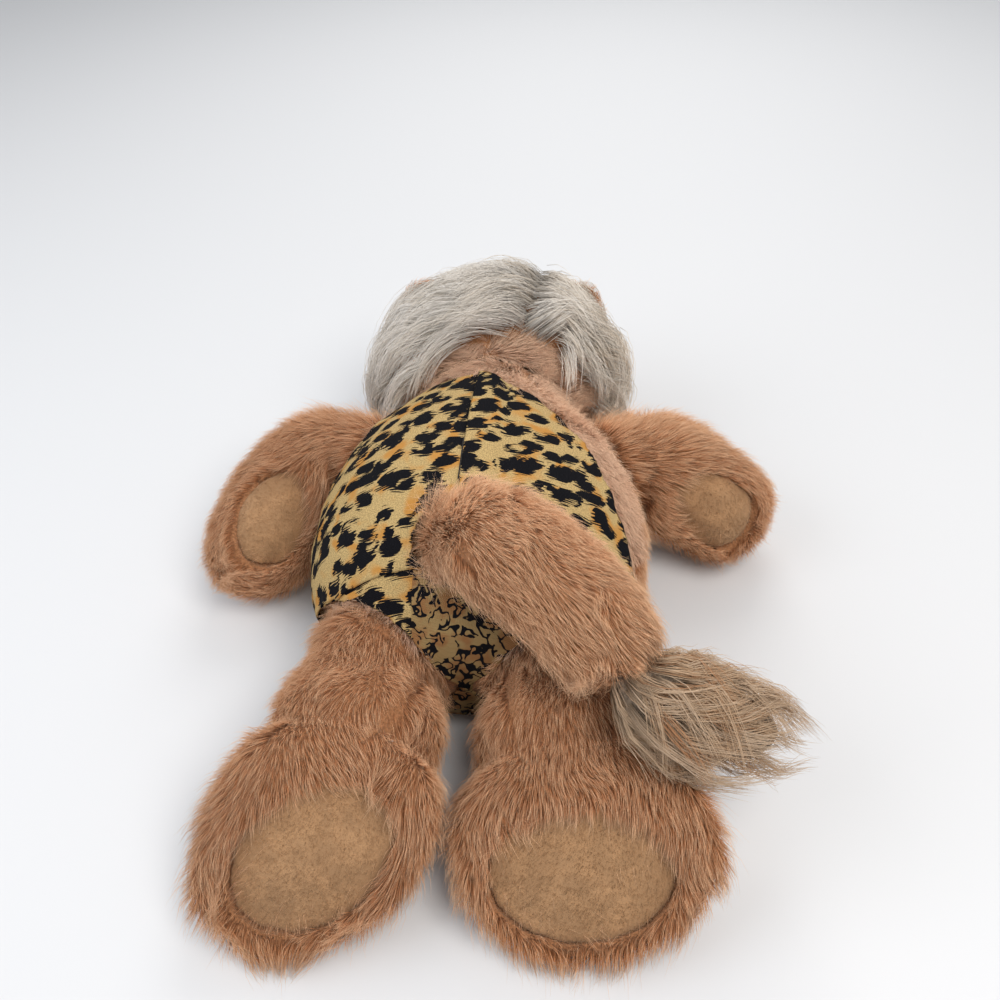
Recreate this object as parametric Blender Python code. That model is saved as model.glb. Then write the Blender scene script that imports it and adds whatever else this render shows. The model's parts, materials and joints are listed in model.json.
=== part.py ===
"""A plush lion that lies on its belly in a one-shoulder leotard.

Metres, +Z up. The origin is on the floor under the middle of the belly, +Y runs along
the back to the head and +X is the lion's right side. Every limb is a sewn sock of plush
over its own stuffing. It ends in a round root that sits in a hollow of the body, so
the limb turns about the middle of that root. The neck is a ball of stuffing that the
body and the head both hold in a hollow.
"""

import math

import bmesh
import bpy
from mathutils import Matrix, Vector

# Clearances and cloth that all the pieces share
GAP = 0.0003
PLUSH = 0.0065
PAD_THICK = 0.0025
CLOTH = 0.0012
OVERRUN = 0.03
CUT_REACH = 0.3
FLOOR = 0.0

# Body
BODY_REAR = -0.082
BODY_FRONT = 0.083
BODY_HALF_WIDTH = 0.086
BODY_HEIGHT = 0.1135
BODY_MIDDLE_Z = 0.046
BODY_COLUMNS = 20

# Each row: place along the body, half width, top and bottom, as shares of the sizes above
BODY_ROW_SHARES = (
    (0.010, 0.22, 0.55, 0.22),
    (0.036, 0.43, 0.66, 0.12),
    (0.091, 0.64, 0.765, 0.035),
    (0.170, 0.82, 0.865, -0.02),
    (0.279, 0.935, 0.94, -0.045),
    (0.412, 0.995, 0.985, -0.055),
    (0.558, 1.0, 1.0, -0.055),
    (0.703, 0.95, 0.995, -0.045),
    (0.812, 0.86, 0.98, -0.02),
    (0.885, 0.755, 0.965, 0.05),
    (0.945, 0.64, 0.95, 0.125),
    (1.0, 0.545, 0.93, 0.19),
)

# Neck
NECK_Y = 0.084
NECK_Z = 0.063
NECK_RADIUS = 0.041
NECK_CLEAR_ANGLE = math.radians(66)
MANE_CLEAR_ANGLE = math.radians(59)
NECK_SEGMENTS = 20
NECK_ROOM_SEGMENTS = 18
HOLLOW_SEGMENTS = 16
HOLE_SEGMENTS = 24
FUNNEL_SEGMENTS = 27

# Head
HEAD_Y = 0.133
HEAD_Z = 0.060
HEAD_TILT = math.radians(35)
HEAD_HALF_WIDTH = 0.066
HEAD_HALF_HEIGHT = 0.057
HEAD_HALF_DEPTH = 0.052
HEAD_COLUMNS = 18
HEAD_ROWS = 9

# Muzzle, with its middle placed from the middle of the head
MUZZLE_AHEAD = 0.046
MUZZLE_BELOW = 0.012
MUZZLE_HALF_WIDTH = 0.030
MUZZLE_HALF_HEIGHT = 0.022
MUZZLE_HALF_DEPTH = 0.026
MUZZLE_SKIN = 0.004
MUZZLE_COLUMNS = 12
MUZZLE_ROWS = 6

# Eyes and nose: a dome with a post, held by a washer behind the plush
EYE_RADIUS = 0.0075
EYE_APART = 0.050
EYE_ABOVE = 0.012
EYE_SUNK = 0.003
NOSE_HALF_WIDTH = 0.010
NOSE_HALF_HEIGHT = 0.0075
NOSE_HALF_DEPTH = 0.006
NOSE_ABOVE = 0.009
NOSE_SUNK = 0.001
POST_RADIUS = 0.0022
WASHER_RADIUS = 0.0075
WASHER_THICK = 0.0015
POST_TAIL = 0.002
SMALL_SEGMENTS = 10
SMALL_RINGS = 6
BED_SEGMENTS = 16
PAD_SEGMENTS = 14
PAD_DEPTH_SHARE = 1.6

# Mouth, a stitched thread on the front of the muzzle
MOUTH_THREAD = 0.0008
MOUTH_HALF_WIDTH = 0.015
MOUTH_DROP = 0.006
MOUTH_POINTS = 11

# Mane, a cap of long pile round the back of the head
MANE_THICK = 0.013
MANE_FRONT = 0.020
MANE_ROWS = 7
EAR_ROOM_AHEAD = 0.0105
EAR_ROOM_BESIDE = 0.0025

# Ears
EAR_HALF_WIDTH = 0.017
EAR_HEIGHT = 0.019
EAR_THICK = 0.006
EAR_AHEAD = 0.012
EAR_ANGLE = math.radians(42)
EAR_LINING_THICK = 0.0015
EAR_LINING_RIM = 0.0045
EAR_LINING_LIFT = 0.002
EAR_FOOT_HALF_WIDTH = 0.0136
EAR_POINTS = 9

# Arms: route from the shoulder to the paw
SHOULDER_X = 0.069
SHOULDER_Y = 0.060
SHOULDER_Z = 0.051
SHOULDER_RADIUS = 0.024
ARM_RADIUS = 0.031
LEFT_ARM_BENDS = (Vector((-0.107, 0.080, 0.050)), Vector((-0.136, 0.038, 0.028)))
LEFT_ARM_TIP = Vector((-0.125, -0.012, 0.026))
RIGHT_ARM_BENDS = (Vector((0.101, 0.076, 0.051)), Vector((0.122, 0.062, 0.031)))
RIGHT_ARM_TIP = Vector((0.154, 0.043, 0.024))
LEFT_PAW_FACES = Vector((0.40, -0.45, 0.80)).normalized()
RIGHT_PAW_FACES = Vector((-0.10, -0.80, 0.59)).normalized()
ARM_COLUMNS = 12
PAW_PAD_LENGTH = 0.056
PAW_PAD_WIDTH = 0.037
PAW_PAD_DEPTH = 0.0155
PAW_PAD_SHARE = 0.74

# Each row: place along the arm's route and its radius, as shares
ARM_ROW_SHARES = (
    (0.20, 0.91),
    (0.31, 1.0),
    (0.45, 1.02),
    (0.62, 1.0),
    (0.77, 0.97),
    (0.87, 0.88),
    (0.94, 0.69),
    (0.982, 0.40),
)

# Legs: the route runs from the hip to the sole, which faces up and back
HIP_X = 0.0445
HIP_Y = -0.068
HIP_Z = 0.041
HIP_RADIUS = 0.032
LEG_HALF_WIDTH = 0.042
LEG_HALF_HEIGHT = 0.0375
SOLE_TILT = math.radians(45)
FOOT_TOE = 0.063
FOOT_HEEL = 0.055
FOOT_HALF_WIDTH = 0.043
LEFT_SOLE = Vector((-0.058, -0.168, 0.0375))
RIGHT_SOLE = Vector((0.056, -0.167, 0.0335))
LEFT_TOE_TURN = math.radians(-38)
RIGHT_TOE_TURN = math.radians(6)
LEG_COLUMNS = 12
SOLE_PAD_HALF_LENGTH = 0.040
SOLE_PAD_HALF_WIDTH = 0.0275
LEG_MIDDLE_CLEAR = 0.0015

# Each row: place along the leg, its size, how much it is a foot, and how far it tips
LEG_ROW_SHARES = (
    (0.22, 0.82, 0.0, 0.0),
    (0.36, 0.96, 0.0, 0.03),
    (0.52, 1.0, 0.06, 0.18),
    (0.67, 1.0, 0.38, 0.45),
    (0.80, 1.0, 0.85, 0.75),
    (0.90, 0.99, 1.0, 0.94),
    (0.965, 0.90, 1.0, 1.0),
    (0.995, 0.72, 1.0, 1.0),
    (1.0, 0.42, 1.0, 1.0),
)

# Tail
TAIL_ROOT = Vector((-0.009, -0.041, 0.098))
TAIL_ROOT_RADIUS = 0.020
TAIL_RADIUS = 0.0245
TAIL_BENDS = (Vector((0.002, -0.056, 0.136)), Vector((0.050, -0.082, 0.124)))
TAIL_TIP = Vector((0.075, -0.112, 0.097))
TUFT_BENDS = (Vector((0.094, -0.128, 0.088)), Vector((0.122, -0.114, 0.070)))
TUFT_END = Vector((0.152, -0.110, 0.056))
TUFT_RADIUS = 0.024
TAIL_COLUMNS = 12
TUFT_COLUMNS = 12
TUFT_OVERLAP = 0.012
TAIL_LIFT = math.radians(45)
TAIL_LIFT_AXIS = Vector((-0.64, -0.768, 0.0))
TAIL_ROOM_STEPS = 5
TAIL_ROOM_CLEAR = 0.0006

TAIL_ROW_SHARES = (
    (0.22, 0.87),
    (0.36, 0.98),
    (0.52, 1.0),
    (0.68, 0.98),
    (0.82, 0.95),
    (0.93, 0.84),
    (0.985, 0.55),
)

TUFT_ROW_SHARES = (
    (0.0, 0.62),
    (0.08, 0.88),
    (0.25, 1.0),
    (0.45, 0.98),
    (0.64, 0.82),
    (0.82, 0.52),
    (0.95, 0.20),
)

# Leotard
SIDE_SEAM_COLUMN = 6
GUSSET_ROW = 3
LEG_HOLE_CLEAR = 0.003
ARM_HOLE_CLEAR = 0.004
TAIL_HOLE_CLEAR = 0.003
NECKLINE = (Vector((-0.016, 0.078, 0.0)), Vector((0.075, 0.026, 0.0)))
NECKLINE_SIDE = (Vector((0.045, 0.043, 0.0)), Vector((0.075, -0.019, 0.0)))
ARMHOLE = (Vector((-0.084, 0.020, 0.0)), Vector((-0.040, 0.080, 0.0)))
TAPE_THICK = 0.0007
STRAP_FIRST_COLUMN = -8
STRAP_LAST_COLUMN = -3
SOLE_CROWN = 0.0012
OVERLAP_TURN = math.radians(4.5)
OVERLAP_STEP_TURN = math.radians(10.5)
TAPE_FIRST_ROW = 5
TAPE_LAST_ROW = 8
SEAM_HALF_GAP = 0.00016

ROOT_OPEN_ANGLE = math.radians(26)
ROOT_LEAVE_ANGLE = math.radians(112)
ROOT_ROWS = 4


def clear_scene():
    for old in list(bpy.data.objects):
        bpy.data.objects.remove(old, do_unlink=True)


def material(name, colour, roughness):
    made = bpy.data.materials.new(name)
    made.use_nodes = True
    shader = made.node_tree.nodes["Principled BSDF"]
    shader.inputs["Base Color"].default_value = (*colour, 1.0)
    shader.inputs["Roughness"].default_value = roughness
    return made


def placed(name, mesh, finish=None):
    """A smooth object of a mesh, in the scene."""
    mesh.shade_smooth()
    if finish:
        mesh.materials.append(finish)
    made = bpy.data.objects.new(name, mesh)
    bpy.context.scene.collection.objects.link(made)
    return made


def add_mesh(name, points, faces, finish=None):
    """A new object from points and faces, with its normals made to face out."""
    mesh = bpy.data.meshes.new(name)
    mesh.from_pydata([tuple(point) for point in points], [], faces)
    shape = bmesh.new()
    shape.from_mesh(mesh)
    bmesh.ops.recalc_face_normals(shape, faces=shape.faces)
    bmesh.ops.triangulate(shape, faces=[face for face in shape.faces if len(face.verts) > 3])
    if shape.calc_volume(signed=True) < 0:
        bmesh.ops.reverse_faces(shape, faces=shape.faces)
    shape.to_mesh(mesh)
    shape.free()
    return placed(name, mesh, finish)


def keep_main_piece(obj):
    """Drops the crumbs that cuts leave beside the main piece."""
    shape = bmesh.new()
    shape.from_mesh(obj.data)
    unseen = set(shape.verts)
    pieces = []
    while unseen:
        piece = {unseen.pop()}
        edge = set(piece)
        while edge:
            near = {link.other_vert(point) for point in edge for link in point.link_edges}
            edge = near & unseen
            unseen -= edge
            piece |= edge
        pieces.append(piece)
    pieces.sort(key=len)
    crumbs = [point for piece in pieces[:-1] for point in piece]
    bmesh.ops.delete(shape, geom=crumbs, context="VERTS")
    shape.to_mesh(obj.data)
    shape.free()


def combine(target, tool, operation):
    """Applies one Boolean to the target and uses the tool up."""
    change = target.modifiers.new(operation.title(), "BOOLEAN")
    change.operation = operation
    change.solver = "EXACT"
    change.object = tool
    bpy.context.view_layer.update()
    graph = bpy.context.evaluated_depsgraph_get()
    result = bpy.data.meshes.new_from_object(target.evaluated_get(graph))
    target.modifiers.clear()
    target.data = result
    bpy.data.objects.remove(tool, do_unlink=True)


def on_pivot(obj, pivot):
    """Moves an object's origin to its joint and leaves its shape where it is."""
    obj.data.transform(Matrix.Translation(-pivot))
    obj.location = pivot


# Routes and rings


def bezier(route, share):
    a, b, c, d = route
    rest = 1 - share
    return (
        a * rest**3 + b * 3 * rest**2 * share + c * 3 * rest * share**2 + d * share**3
    )


def bezier_heading(route, share):
    a, b, c, d = route
    rest = 1 - share
    heading = (b - a) * rest**2 + (c - b) * 2 * rest * share + (d - c) * share**2
    return heading.normalized()


def across(heading):
    """Two directions square to a heading, the second as upright as it can be."""
    side = heading.cross(Vector((0, 0, 1))).normalized()
    return side, side.cross(heading).normalized()


def oval(middle, side, up, half_side, half_up, columns):
    turns = [2 * math.pi * column / columns for column in range(columns)]
    return [
        middle + side * half_side * math.sin(turn) + up * half_up * math.cos(turn)
        for turn in turns
    ]


def keep_above(point, level):
    return Vector((point.x, point.y, max(point.z, level)))


def between_rings(first, second, count):
    """Triangles between two rings of points, from the number of each ring's first point."""
    faces = []
    for here in range(count):
        beside = (here + 1) % count
        faces.append((first + here, first + beside, second + beside))
        faces.append((first + here, second + beside, second + here))
    return faces


class Form:
    """Rings of points along a soft shape, with a point that closes each end."""

    def __init__(self, start, rows, end):
        self.start = start
        self.rows = rows
        self.end = end

    def normals(self):
        """Outward directions at every ring point, from its four neighbours."""
        whole = [[self.start] * len(self.rows[0]), *self.rows, [self.end] * len(self.rows[0])]
        turned = []
        for index in range(1, len(whole) - 1):
            row = whole[index]
            middle = sum(row, Vector()) / len(row)
            found = []
            for column, point in enumerate(row):
                along = whole[index + 1][column] - whole[index - 1][column]
                around = row[(column + 1) % len(row)] - row[column - 1]
                normal = along.cross(around).normalized()
                found.append(normal if normal.dot(point - middle) > 0 else -normal)
            turned.append(found)
        return turned

    def grown(self, amount, level=None):
        """The same form with every point moved outward, kept above a level."""
        start_way = (self.start - sum(self.rows[0], Vector()) / len(self.rows[0])).normalized()
        end_way = (self.end - sum(self.rows[-1], Vector()) / len(self.rows[-1])).normalized()
        rows = [
            [point + normal * amount for point, normal in zip(row, normals)]
            for row, normals in zip(self.rows, self.normals())
        ]
        start = self.start + start_way * amount
        end = self.end + end_way * amount
        if level is None:
            return Form(start, rows, end)
        rows = [[keep_above(point, level) for point in row] for row in rows]
        return Form(keep_above(start, level), rows, keep_above(end, level))

    def surface(self, first=0, open_start=False, open_end=False):
        """Points and faces of the skin, with faces numbered from first."""
        points = [point for row in self.rows for point in row]
        faces = []
        count = len(self.rows[0])
        last = first + (len(self.rows) - 1) * count
        for low in range(first, last, count):
            faces += between_rings(low, low + count, count)
        if not open_end:
            tip = first + len(points)
            points.append(self.end)
            faces += [(last + here, last + (here + 1) % count, tip) for here in range(count)]
        if not open_start:
            tip = first + len(points)
            points.append(self.start)
            faces += [(first + (here + 1) % count, first + here, tip) for here in range(count)]
        return points, faces


def solid(name, form, finish=None):
    points, faces = form.surface()
    return add_mesh(name, points, faces, finish)


def sock(name, outer, inner, finish):
    """A wall between two forms, open at their first rings."""
    points, faces = outer.surface(open_start=True)
    inside, inner_faces = inner.surface(len(points), open_start=True)
    faces += inner_faces
    faces += between_rings(0, len(points), len(outer.rows[0]))
    return add_mesh(name, points + inside, faces, finish)


def hollow(name, outer, inner, finish):
    """A closed wall between two forms, for later cuts to open."""
    points, faces = outer.surface()
    inside, inner_faces = inner.surface(len(points))
    faces += [tuple(reversed(face)) for face in inner_faces]
    mesh = bpy.data.meshes.new(name)
    mesh.from_pydata([tuple(point) for point in points + inside], [], faces)
    return placed(name, mesh, finish)


def ball(name, middle, radius, segments, finish=None):
    shape = bmesh.new()
    bmesh.ops.create_uvsphere(
        shape, u_segments=segments, v_segments=segments // 2, radius=radius
    )
    bmesh.ops.transform(shape, matrix=Matrix.Translation(middle), verts=shape.verts)
    mesh = bpy.data.meshes.new(name)
    shape.to_mesh(mesh)
    shape.free()
    return placed(name, mesh, finish)


def round_room(middle, radius, segments):
    """A faceted ball whose flats all lie outside a ball of the radius, so that it can turn."""
    flats = math.cos(math.pi / segments) ** 2
    return ball("room", middle, (radius + GAP) / flats, segments)


# The body and what is cut out of it


def body_point(row, turn):
    """A point of the body's outside at a row of the table and a turn from the spine."""
    place, width, top, bottom = row
    lift = BODY_HEIGHT * top - BODY_MIDDLE_Z
    drop = BODY_MIDDLE_Z - BODY_HEIGHT * bottom
    up = math.cos(turn)
    return Vector(
        (
            BODY_HALF_WIDTH * width * math.sin(turn),
            BODY_REAR + (BODY_FRONT - BODY_REAR) * place,
            BODY_MIDDLE_Z + up * (lift if up > 0 else drop),
        )
    )


def body_turns():
    """Turns of the body's columns, with close ones beside the closure of the back."""
    near = [OVERLAP_TURN, OVERLAP_STEP_TURN]
    wide = BODY_COLUMNS // 2 - len(near)
    rest = [
        OVERLAP_STEP_TURN + (math.pi - OVERLAP_STEP_TURN) * step / wide
        for step in range(1, wide)
    ]
    half = near + rest
    return [0.0, *half, math.pi, *[2 * math.pi - turn for turn in reversed(half)]]


def body_form():
    turns = body_turns()
    rows = [[body_point(row, turn) for turn in turns] for row in BODY_ROW_SHARES]
    start = Vector((0, BODY_REAR, BODY_MIDDLE_Z))
    end = Vector((0, BODY_FRONT + GAP, BODY_MIDDLE_Z))
    return Form(start, rows, end)


def body_at(amount):
    """The body grown by an amount, flat where the leotard lies on the floor."""
    return body_form().grown(amount, FLOOR + GAP + CLOTH - amount)


def hips():
    return [Vector((side * HIP_X, HIP_Y, HIP_Z)) for side in (-1, 1)]


def shoulders():
    return [Vector((side * SHOULDER_X, SHOULDER_Y, SHOULDER_Z)) for side in (-1, 1)]


def neck_middle():
    return Vector((0, NECK_Y, NECK_Z))


def cut_body_hollows(target):
    """Cuts the round hollows that the limbs, the neck and the tail sit in."""
    for middle in hips():
        combine(target, round_room(middle, HIP_RADIUS, HOLLOW_SEGMENTS), "DIFFERENCE")
    for middle in shoulders():
        combine(target, round_room(middle, SHOULDER_RADIUS, HOLLOW_SEGMENTS), "DIFFERENCE")
    combine(target, round_room(TAIL_ROOT, TAIL_ROOT_RADIUS, HOLLOW_SEGMENTS), "DIFFERENCE")
    combine(target, round_room(neck_middle(), NECK_RADIUS, NECK_ROOM_SEGMENTS), "DIFFERENCE")
    cut_tail_room(target)


def cut_tail_room(target):
    """Presses the shape of the tail, at every step of its lift, into a piece under it."""
    form = tail_form().grown(TAIL_ROOM_CLEAR)
    for step in range(TAIL_ROOM_STEPS):
        turn = Matrix.Rotation(TAIL_LIFT * step / (TAIL_ROOM_STEPS - 1), 4, TAIL_LIFT_AXIS)
        room = solid("room", form)
        on_pivot(room, TAIL_ROOT)
        room.data.transform(turn)
        combine(target, room, "DIFFERENCE")


def make_body(plush, fibre):
    skin = hollow("body_skin", body_at(0), body_at(-PLUSH), plush)
    cut_body_hollows(skin)
    stuffing = solid("body_stuffing", body_at(-PLUSH - GAP), fibre)
    cut_body_hollows(stuffing)
    keep_main_piece(stuffing)
    ball("neck_stuffing", neck_middle(), NECK_RADIUS, NECK_SEGMENTS, fibre)


# Leotard


def panel(name, columns, rows, inner, outer, finish):
    """A piece of cloth on the body between two amounts of growth at each column."""
    turns = body_turns()
    count = len(turns)
    picked = [column % count for column in columns]
    faces = []
    points = []
    for lift in (inner, outer):
        grown = {
            amount: body_at(amount)
            for amount in {lift(column) for column in columns}
        }
        for row in rows:
            for place, column in enumerate(columns):
                line = grown[lift(column)].rows[row]
                point = line[picked[place]]
                if place == 0:
                    point = nudged(point, line[picked[1]])
                if place == len(columns) - 1:
                    point = nudged(point, line[picked[-2]])
                if row == rows[0]:
                    point = nudged(point, grown[lift(column)].rows[row + 1][picked[place]])
                if row == rows[-1]:
                    point = nudged(point, grown[lift(column)].rows[row - 1][picked[place]])
                points.append(point)
    wide = len(columns)
    tall = len(rows)
    layer = wide * tall
    for row in range(tall - 1):
        for column in range(wide - 1):
            low = row * wide + column
            high = low + wide
            for base in (0, layer):
                faces.append((base + low, base + low + 1, base + high + 1))
                faces.append((base + low, base + high + 1, base + high))
    rim = (
        list(range(wide))
        + [row * wide + wide - 1 for row in range(1, tall)]
        + [(tall - 1) * wide + column for column in range(wide - 2, -1, -1)]
        + [row * wide for row in range(tall - 2, 0, -1)]
    )
    for place, here in enumerate(rim):
        after = rim[(place + 1) % len(rim)]
        faces.append((here, after, layer + after, layer + here))
    return add_mesh(name, points, faces, finish)


def beyond_edge(edge):
    """An upright block over all that lies on the far side of a slanting edge."""
    first, second = edge
    along = (second - first).normalized()
    beyond = Vector((-along.y, along.x, 0))
    base = [
        first - along * CUT_REACH,
        first + along * CUT_REACH,
        first + (along + beyond) * CUT_REACH,
        first + (beyond - along) * CUT_REACH,
    ]
    return prism("edge", base, Vector((0, 0, 1)), -OVERRUN, BODY_HEIGHT + OVERRUN)


def prism(name, outline, way, low, high):
    """A closed block: an outline carried along a way from low to high."""
    count = len(outline)
    points = [point + way * low for point in outline] + [point + way * high for point in outline]
    faces = [tuple(range(count)), tuple(range(2 * count - 1, count - 1, -1))]
    for here in range(count):
        after = (here + 1) % count
        faces.append((here, after, count + after, count + here))
    return add_mesh(name, points, faces)


def cut_leotard_holes(target):
    radius = HIP_RADIUS + LEG_HOLE_CLEAR
    for middle in hips():
        combine(target, ball("hole", middle, radius, HOLE_SEGMENTS), "DIFFERENCE")
    radius = SHOULDER_RADIUS + ARM_HOLE_CLEAR
    for middle in shoulders():
        combine(target, ball("hole", middle, radius, HOLE_SEGMENTS), "DIFFERENCE")
    radius = TAIL_ROOT_RADIUS + TAIL_HOLE_CLEAR
    combine(target, ball("hole", TAIL_ROOT, radius, HOLE_SEGMENTS), "DIFFERENCE")
    cut_tail_room(target)


def nudged(point, towards):
    """A point moved by half a seam's gap."""
    return point + (towards - point).normalized() * SEAM_HALF_GAP


def gusset(name, last_row, finish):
    """The cap of cloth over the rump, up to a row of the body."""
    points = []
    faces = []
    rims = []
    for amount in (GAP, GAP + CLOTH):
        whole = body_at(amount)
        rim = [
            nudged(point, inner)
            for point, inner in zip(whole.rows[last_row], whole.rows[last_row - 1])
        ]
        cap = Form(whole.start, [*whole.rows[:last_row], rim], whole.start)
        layer, layer_faces = cap.surface(len(points), open_end=True)
        rims.append(len(points) + last_row * len(rim))
        points += layer
        faces += layer_faces
    faces += between_rings(*rims, len(rim))
    return add_mesh(name, points, faces, finish)


def flat_lift(amount):
    return lambda column: amount


def over_lift(extra):
    """Growth of the back panel whose edge lies over the other one and the two tapes."""
    stack = GAP + CLOTH + 2 * (GAP + TAPE_THICK) + GAP

    def lift(column):
        return (stack if column <= 1 else GAP) + extra

    return lift


def make_leotard(print_cloth, trim):
    top_row = len(BODY_ROW_SHARES) - 1
    seam = SIDE_SEAM_COLUMN
    count = len(body_turns())
    rows = range(GUSSET_ROW, top_row)
    inner = flat_lift(GAP)
    outer = flat_lift(GAP + CLOTH)
    over = (over_lift(0), over_lift(CLOTH))
    made = [
        panel("leotard_back_left", range(-seam, 2), rows, inner, outer, print_cloth),
        panel("leotard_back_right", range(-1, seam + 1), rows, *over, print_cloth),
        panel("leotard_front", range(seam, count - seam + 1), rows, inner, outer, print_cloth),
    ]
    for piece in made:
        for edge in (NECKLINE, NECKLINE_SIDE, ARMHOLE):
            combine(piece, beyond_edge(edge), "DIFFERENCE")
        cut_leotard_holes(piece)
    rump = gusset("leotard_gusset", GUSSET_ROW, print_cloth)
    cut_leotard_holes(rump)
    columns = range(STRAP_FIRST_COLUMN, STRAP_LAST_COLUMN + 1)
    rows = range(top_row - 1, top_row + 1)
    strap = panel("leotard_strap", columns, rows, inner, outer, print_cloth)
    cut_leotard_holes(strap)
    combine(strap, round_room(neck_middle(), NECK_RADIUS, NECK_ROOM_SEGMENTS), "DIFFERENCE")
    low = GAP + CLOTH + GAP
    for name in ("loop_tape", "hook_tape"):
        rows = range(TAPE_FIRST_ROW, TAPE_LAST_ROW + 1)
        panel(name, range(-1, 2), rows, flat_lift(low), flat_lift(low + TAPE_THICK), trim)
        low += TAPE_THICK + GAP


# Limbs


def limb_form(route, root_radius, radius, shares, columns):
    """A round root about the first point of a route, then rings along it to a round end."""
    pivot = route[0]
    heading = bezier_heading(route, 0)
    side, up = across(heading)
    rows = []
    for step in range(ROOT_ROWS):
        turn = ROOT_OPEN_ANGLE + (ROOT_LEAVE_ANGLE - ROOT_OPEN_ANGLE) * step / (ROOT_ROWS - 1)
        middle = pivot - heading * root_radius * math.cos(turn)
        size = root_radius * math.sin(turn)
        rows.append(oval(middle, side, up, size, size, columns))
    for place, size in shares:
        side, up = across(bezier_heading(route, place))
        rows.append(oval(bezier(route, place), side, up, radius * size, radius * size, columns))
    start = pivot - heading * root_radius
    return Form(start, rows, bezier(route, 1))


def leg_form(hip, sole, side_sign, toe_turn):
    """A round root, then rings that tip back and widen into a foot with its sole last."""
    heading = (sole - hip).normalized()
    side, up = across(heading)
    rows = []
    for step in range(ROOT_ROWS):
        turn = ROOT_OPEN_ANGLE + (ROOT_LEAVE_ANGLE - ROOT_OPEN_ANGLE) * step / (ROOT_ROWS - 1)
        middle = hip - heading * HIP_RADIUS * math.cos(turn)
        size = HIP_RADIUS * math.sin(turn)
        rows.append(oval(middle, side, up, size, size, LEG_COLUMNS))
    for place, size, footness, tip in LEG_ROW_SHARES:
        middle = hip.lerp(sole, place)
        tilt = SOLE_TILT * tip
        slope = Vector((0, math.sin(tilt), math.cos(tilt)))
        rows.append(leg_ring(middle, slope, size, footness, side_sign, toe_turn))
    start = hip - heading * HIP_RADIUS
    way = Vector((0, -math.cos(SOLE_TILT), math.sin(SOLE_TILT)))
    return Form(start, rows, sole + way * SOLE_CROWN)


def leg_ring(middle, slope, size, footness, side_sign, toe_turn):
    """One ring of a leg, between the oval of the leg and the outline of the foot."""
    right = Vector((1, 0, 0))
    ring = []
    for column in range(LEG_COLUMNS):
        turn = 2 * math.pi * column / LEG_COLUMNS
        across_leg = -LEG_HALF_WIDTH * math.sin(turn)
        up_leg = LEG_HALF_HEIGHT * math.cos(turn)
        toe_way = Vector((side_sign * math.cos(toe_turn), math.sin(toe_turn)))
        heading = Vector((-math.sin(turn), math.cos(turn)))
        along = heading.dot(toe_way)
        beside = heading.x * toe_way.y - heading.y * toe_way.x
        reach = FOOT_TOE if along > 0 else FOOT_HEEL
        far = 1 / math.hypot(along / reach, beside / FOOT_HALF_WIDTH)
        across_foot = heading.x * far
        up_foot = heading.y * far
        x = across_leg + (across_foot - across_leg) * footness
        y = up_leg + (up_foot - up_leg) * footness
        point = middle + right * x * size + slope * y * size
        limit = LEG_MIDDLE_CLEAR
        if point.x * side_sign < limit:
            point.x = limit * side_sign
        ring.append(point)
    return ring


def floor_form(form, amount):
    """A limb's form grown by an amount, flat where the limb lies on the floor."""
    return form.grown(amount, FLOOR - amount)


def oval_block(name, middle, way, long_way, half_length, half_width, low, high):
    long_way = (long_way - way * long_way.dot(way)).normalized()
    beside = way.cross(long_way)
    outline = oval(middle, beside, long_way, half_width, half_length, PAD_SEGMENTS)
    return prism(name, outline, way, low, high)


def stuffed_limb(name, form, plush, fibre):
    skin = sock(name + "_skin", floor_form(form, 0), floor_form(form, -PLUSH), plush)
    stuffing = solid(name + "_stuffing", floor_form(form, -PLUSH - GAP), fibre)
    return skin, stuffing


def set_in_pad(name, skin, form, middle, way, long_way, half_length, half_width, depth, finish):
    """Cuts an oval out of a limb's plush and sews a pad in, lower than the pile round it."""
    hole = oval_block("hole", middle, way, long_way, half_length, half_width, -depth, OVERRUN)
    combine(skin, hole, "DIFFERENCE")
    pad = sock(name, floor_form(form, PAD_THICK - PLUSH), floor_form(form, -PLUSH), finish)
    inset = oval_block(
        "inset", middle, way, long_way, half_length - GAP, half_width - GAP, -depth, OVERRUN
    )
    combine(pad, inset, "INTERSECT")
    keep_main_piece(pad)
    return pad


def make_arm(name, side_sign, bends, tip, faces_way, plush, fibre, velour):
    pivot = Vector((side_sign * SHOULDER_X, SHOULDER_Y, SHOULDER_Z))
    route = (pivot, *bends, tip)
    form = limb_form(route, SHOULDER_RADIUS, ARM_RADIUS, ARM_ROW_SHARES, ARM_COLUMNS)
    skin, stuffing = stuffed_limb(name, form, plush, fibre)
    heading = bezier_heading(route, PAW_PAD_SHARE)
    way = (faces_way - heading * faces_way.dot(heading)).normalized()
    middle = bezier(route, PAW_PAD_SHARE) + way * ARM_RADIUS
    pad = set_in_pad(
        name + "_paw_pad", skin, form, middle, way, heading,
        PAW_PAD_LENGTH / 2, PAW_PAD_WIDTH / 2, PAW_PAD_DEPTH, velour,
    )
    for piece in (skin, stuffing, pad):
        on_pivot(piece, pivot)


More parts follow.
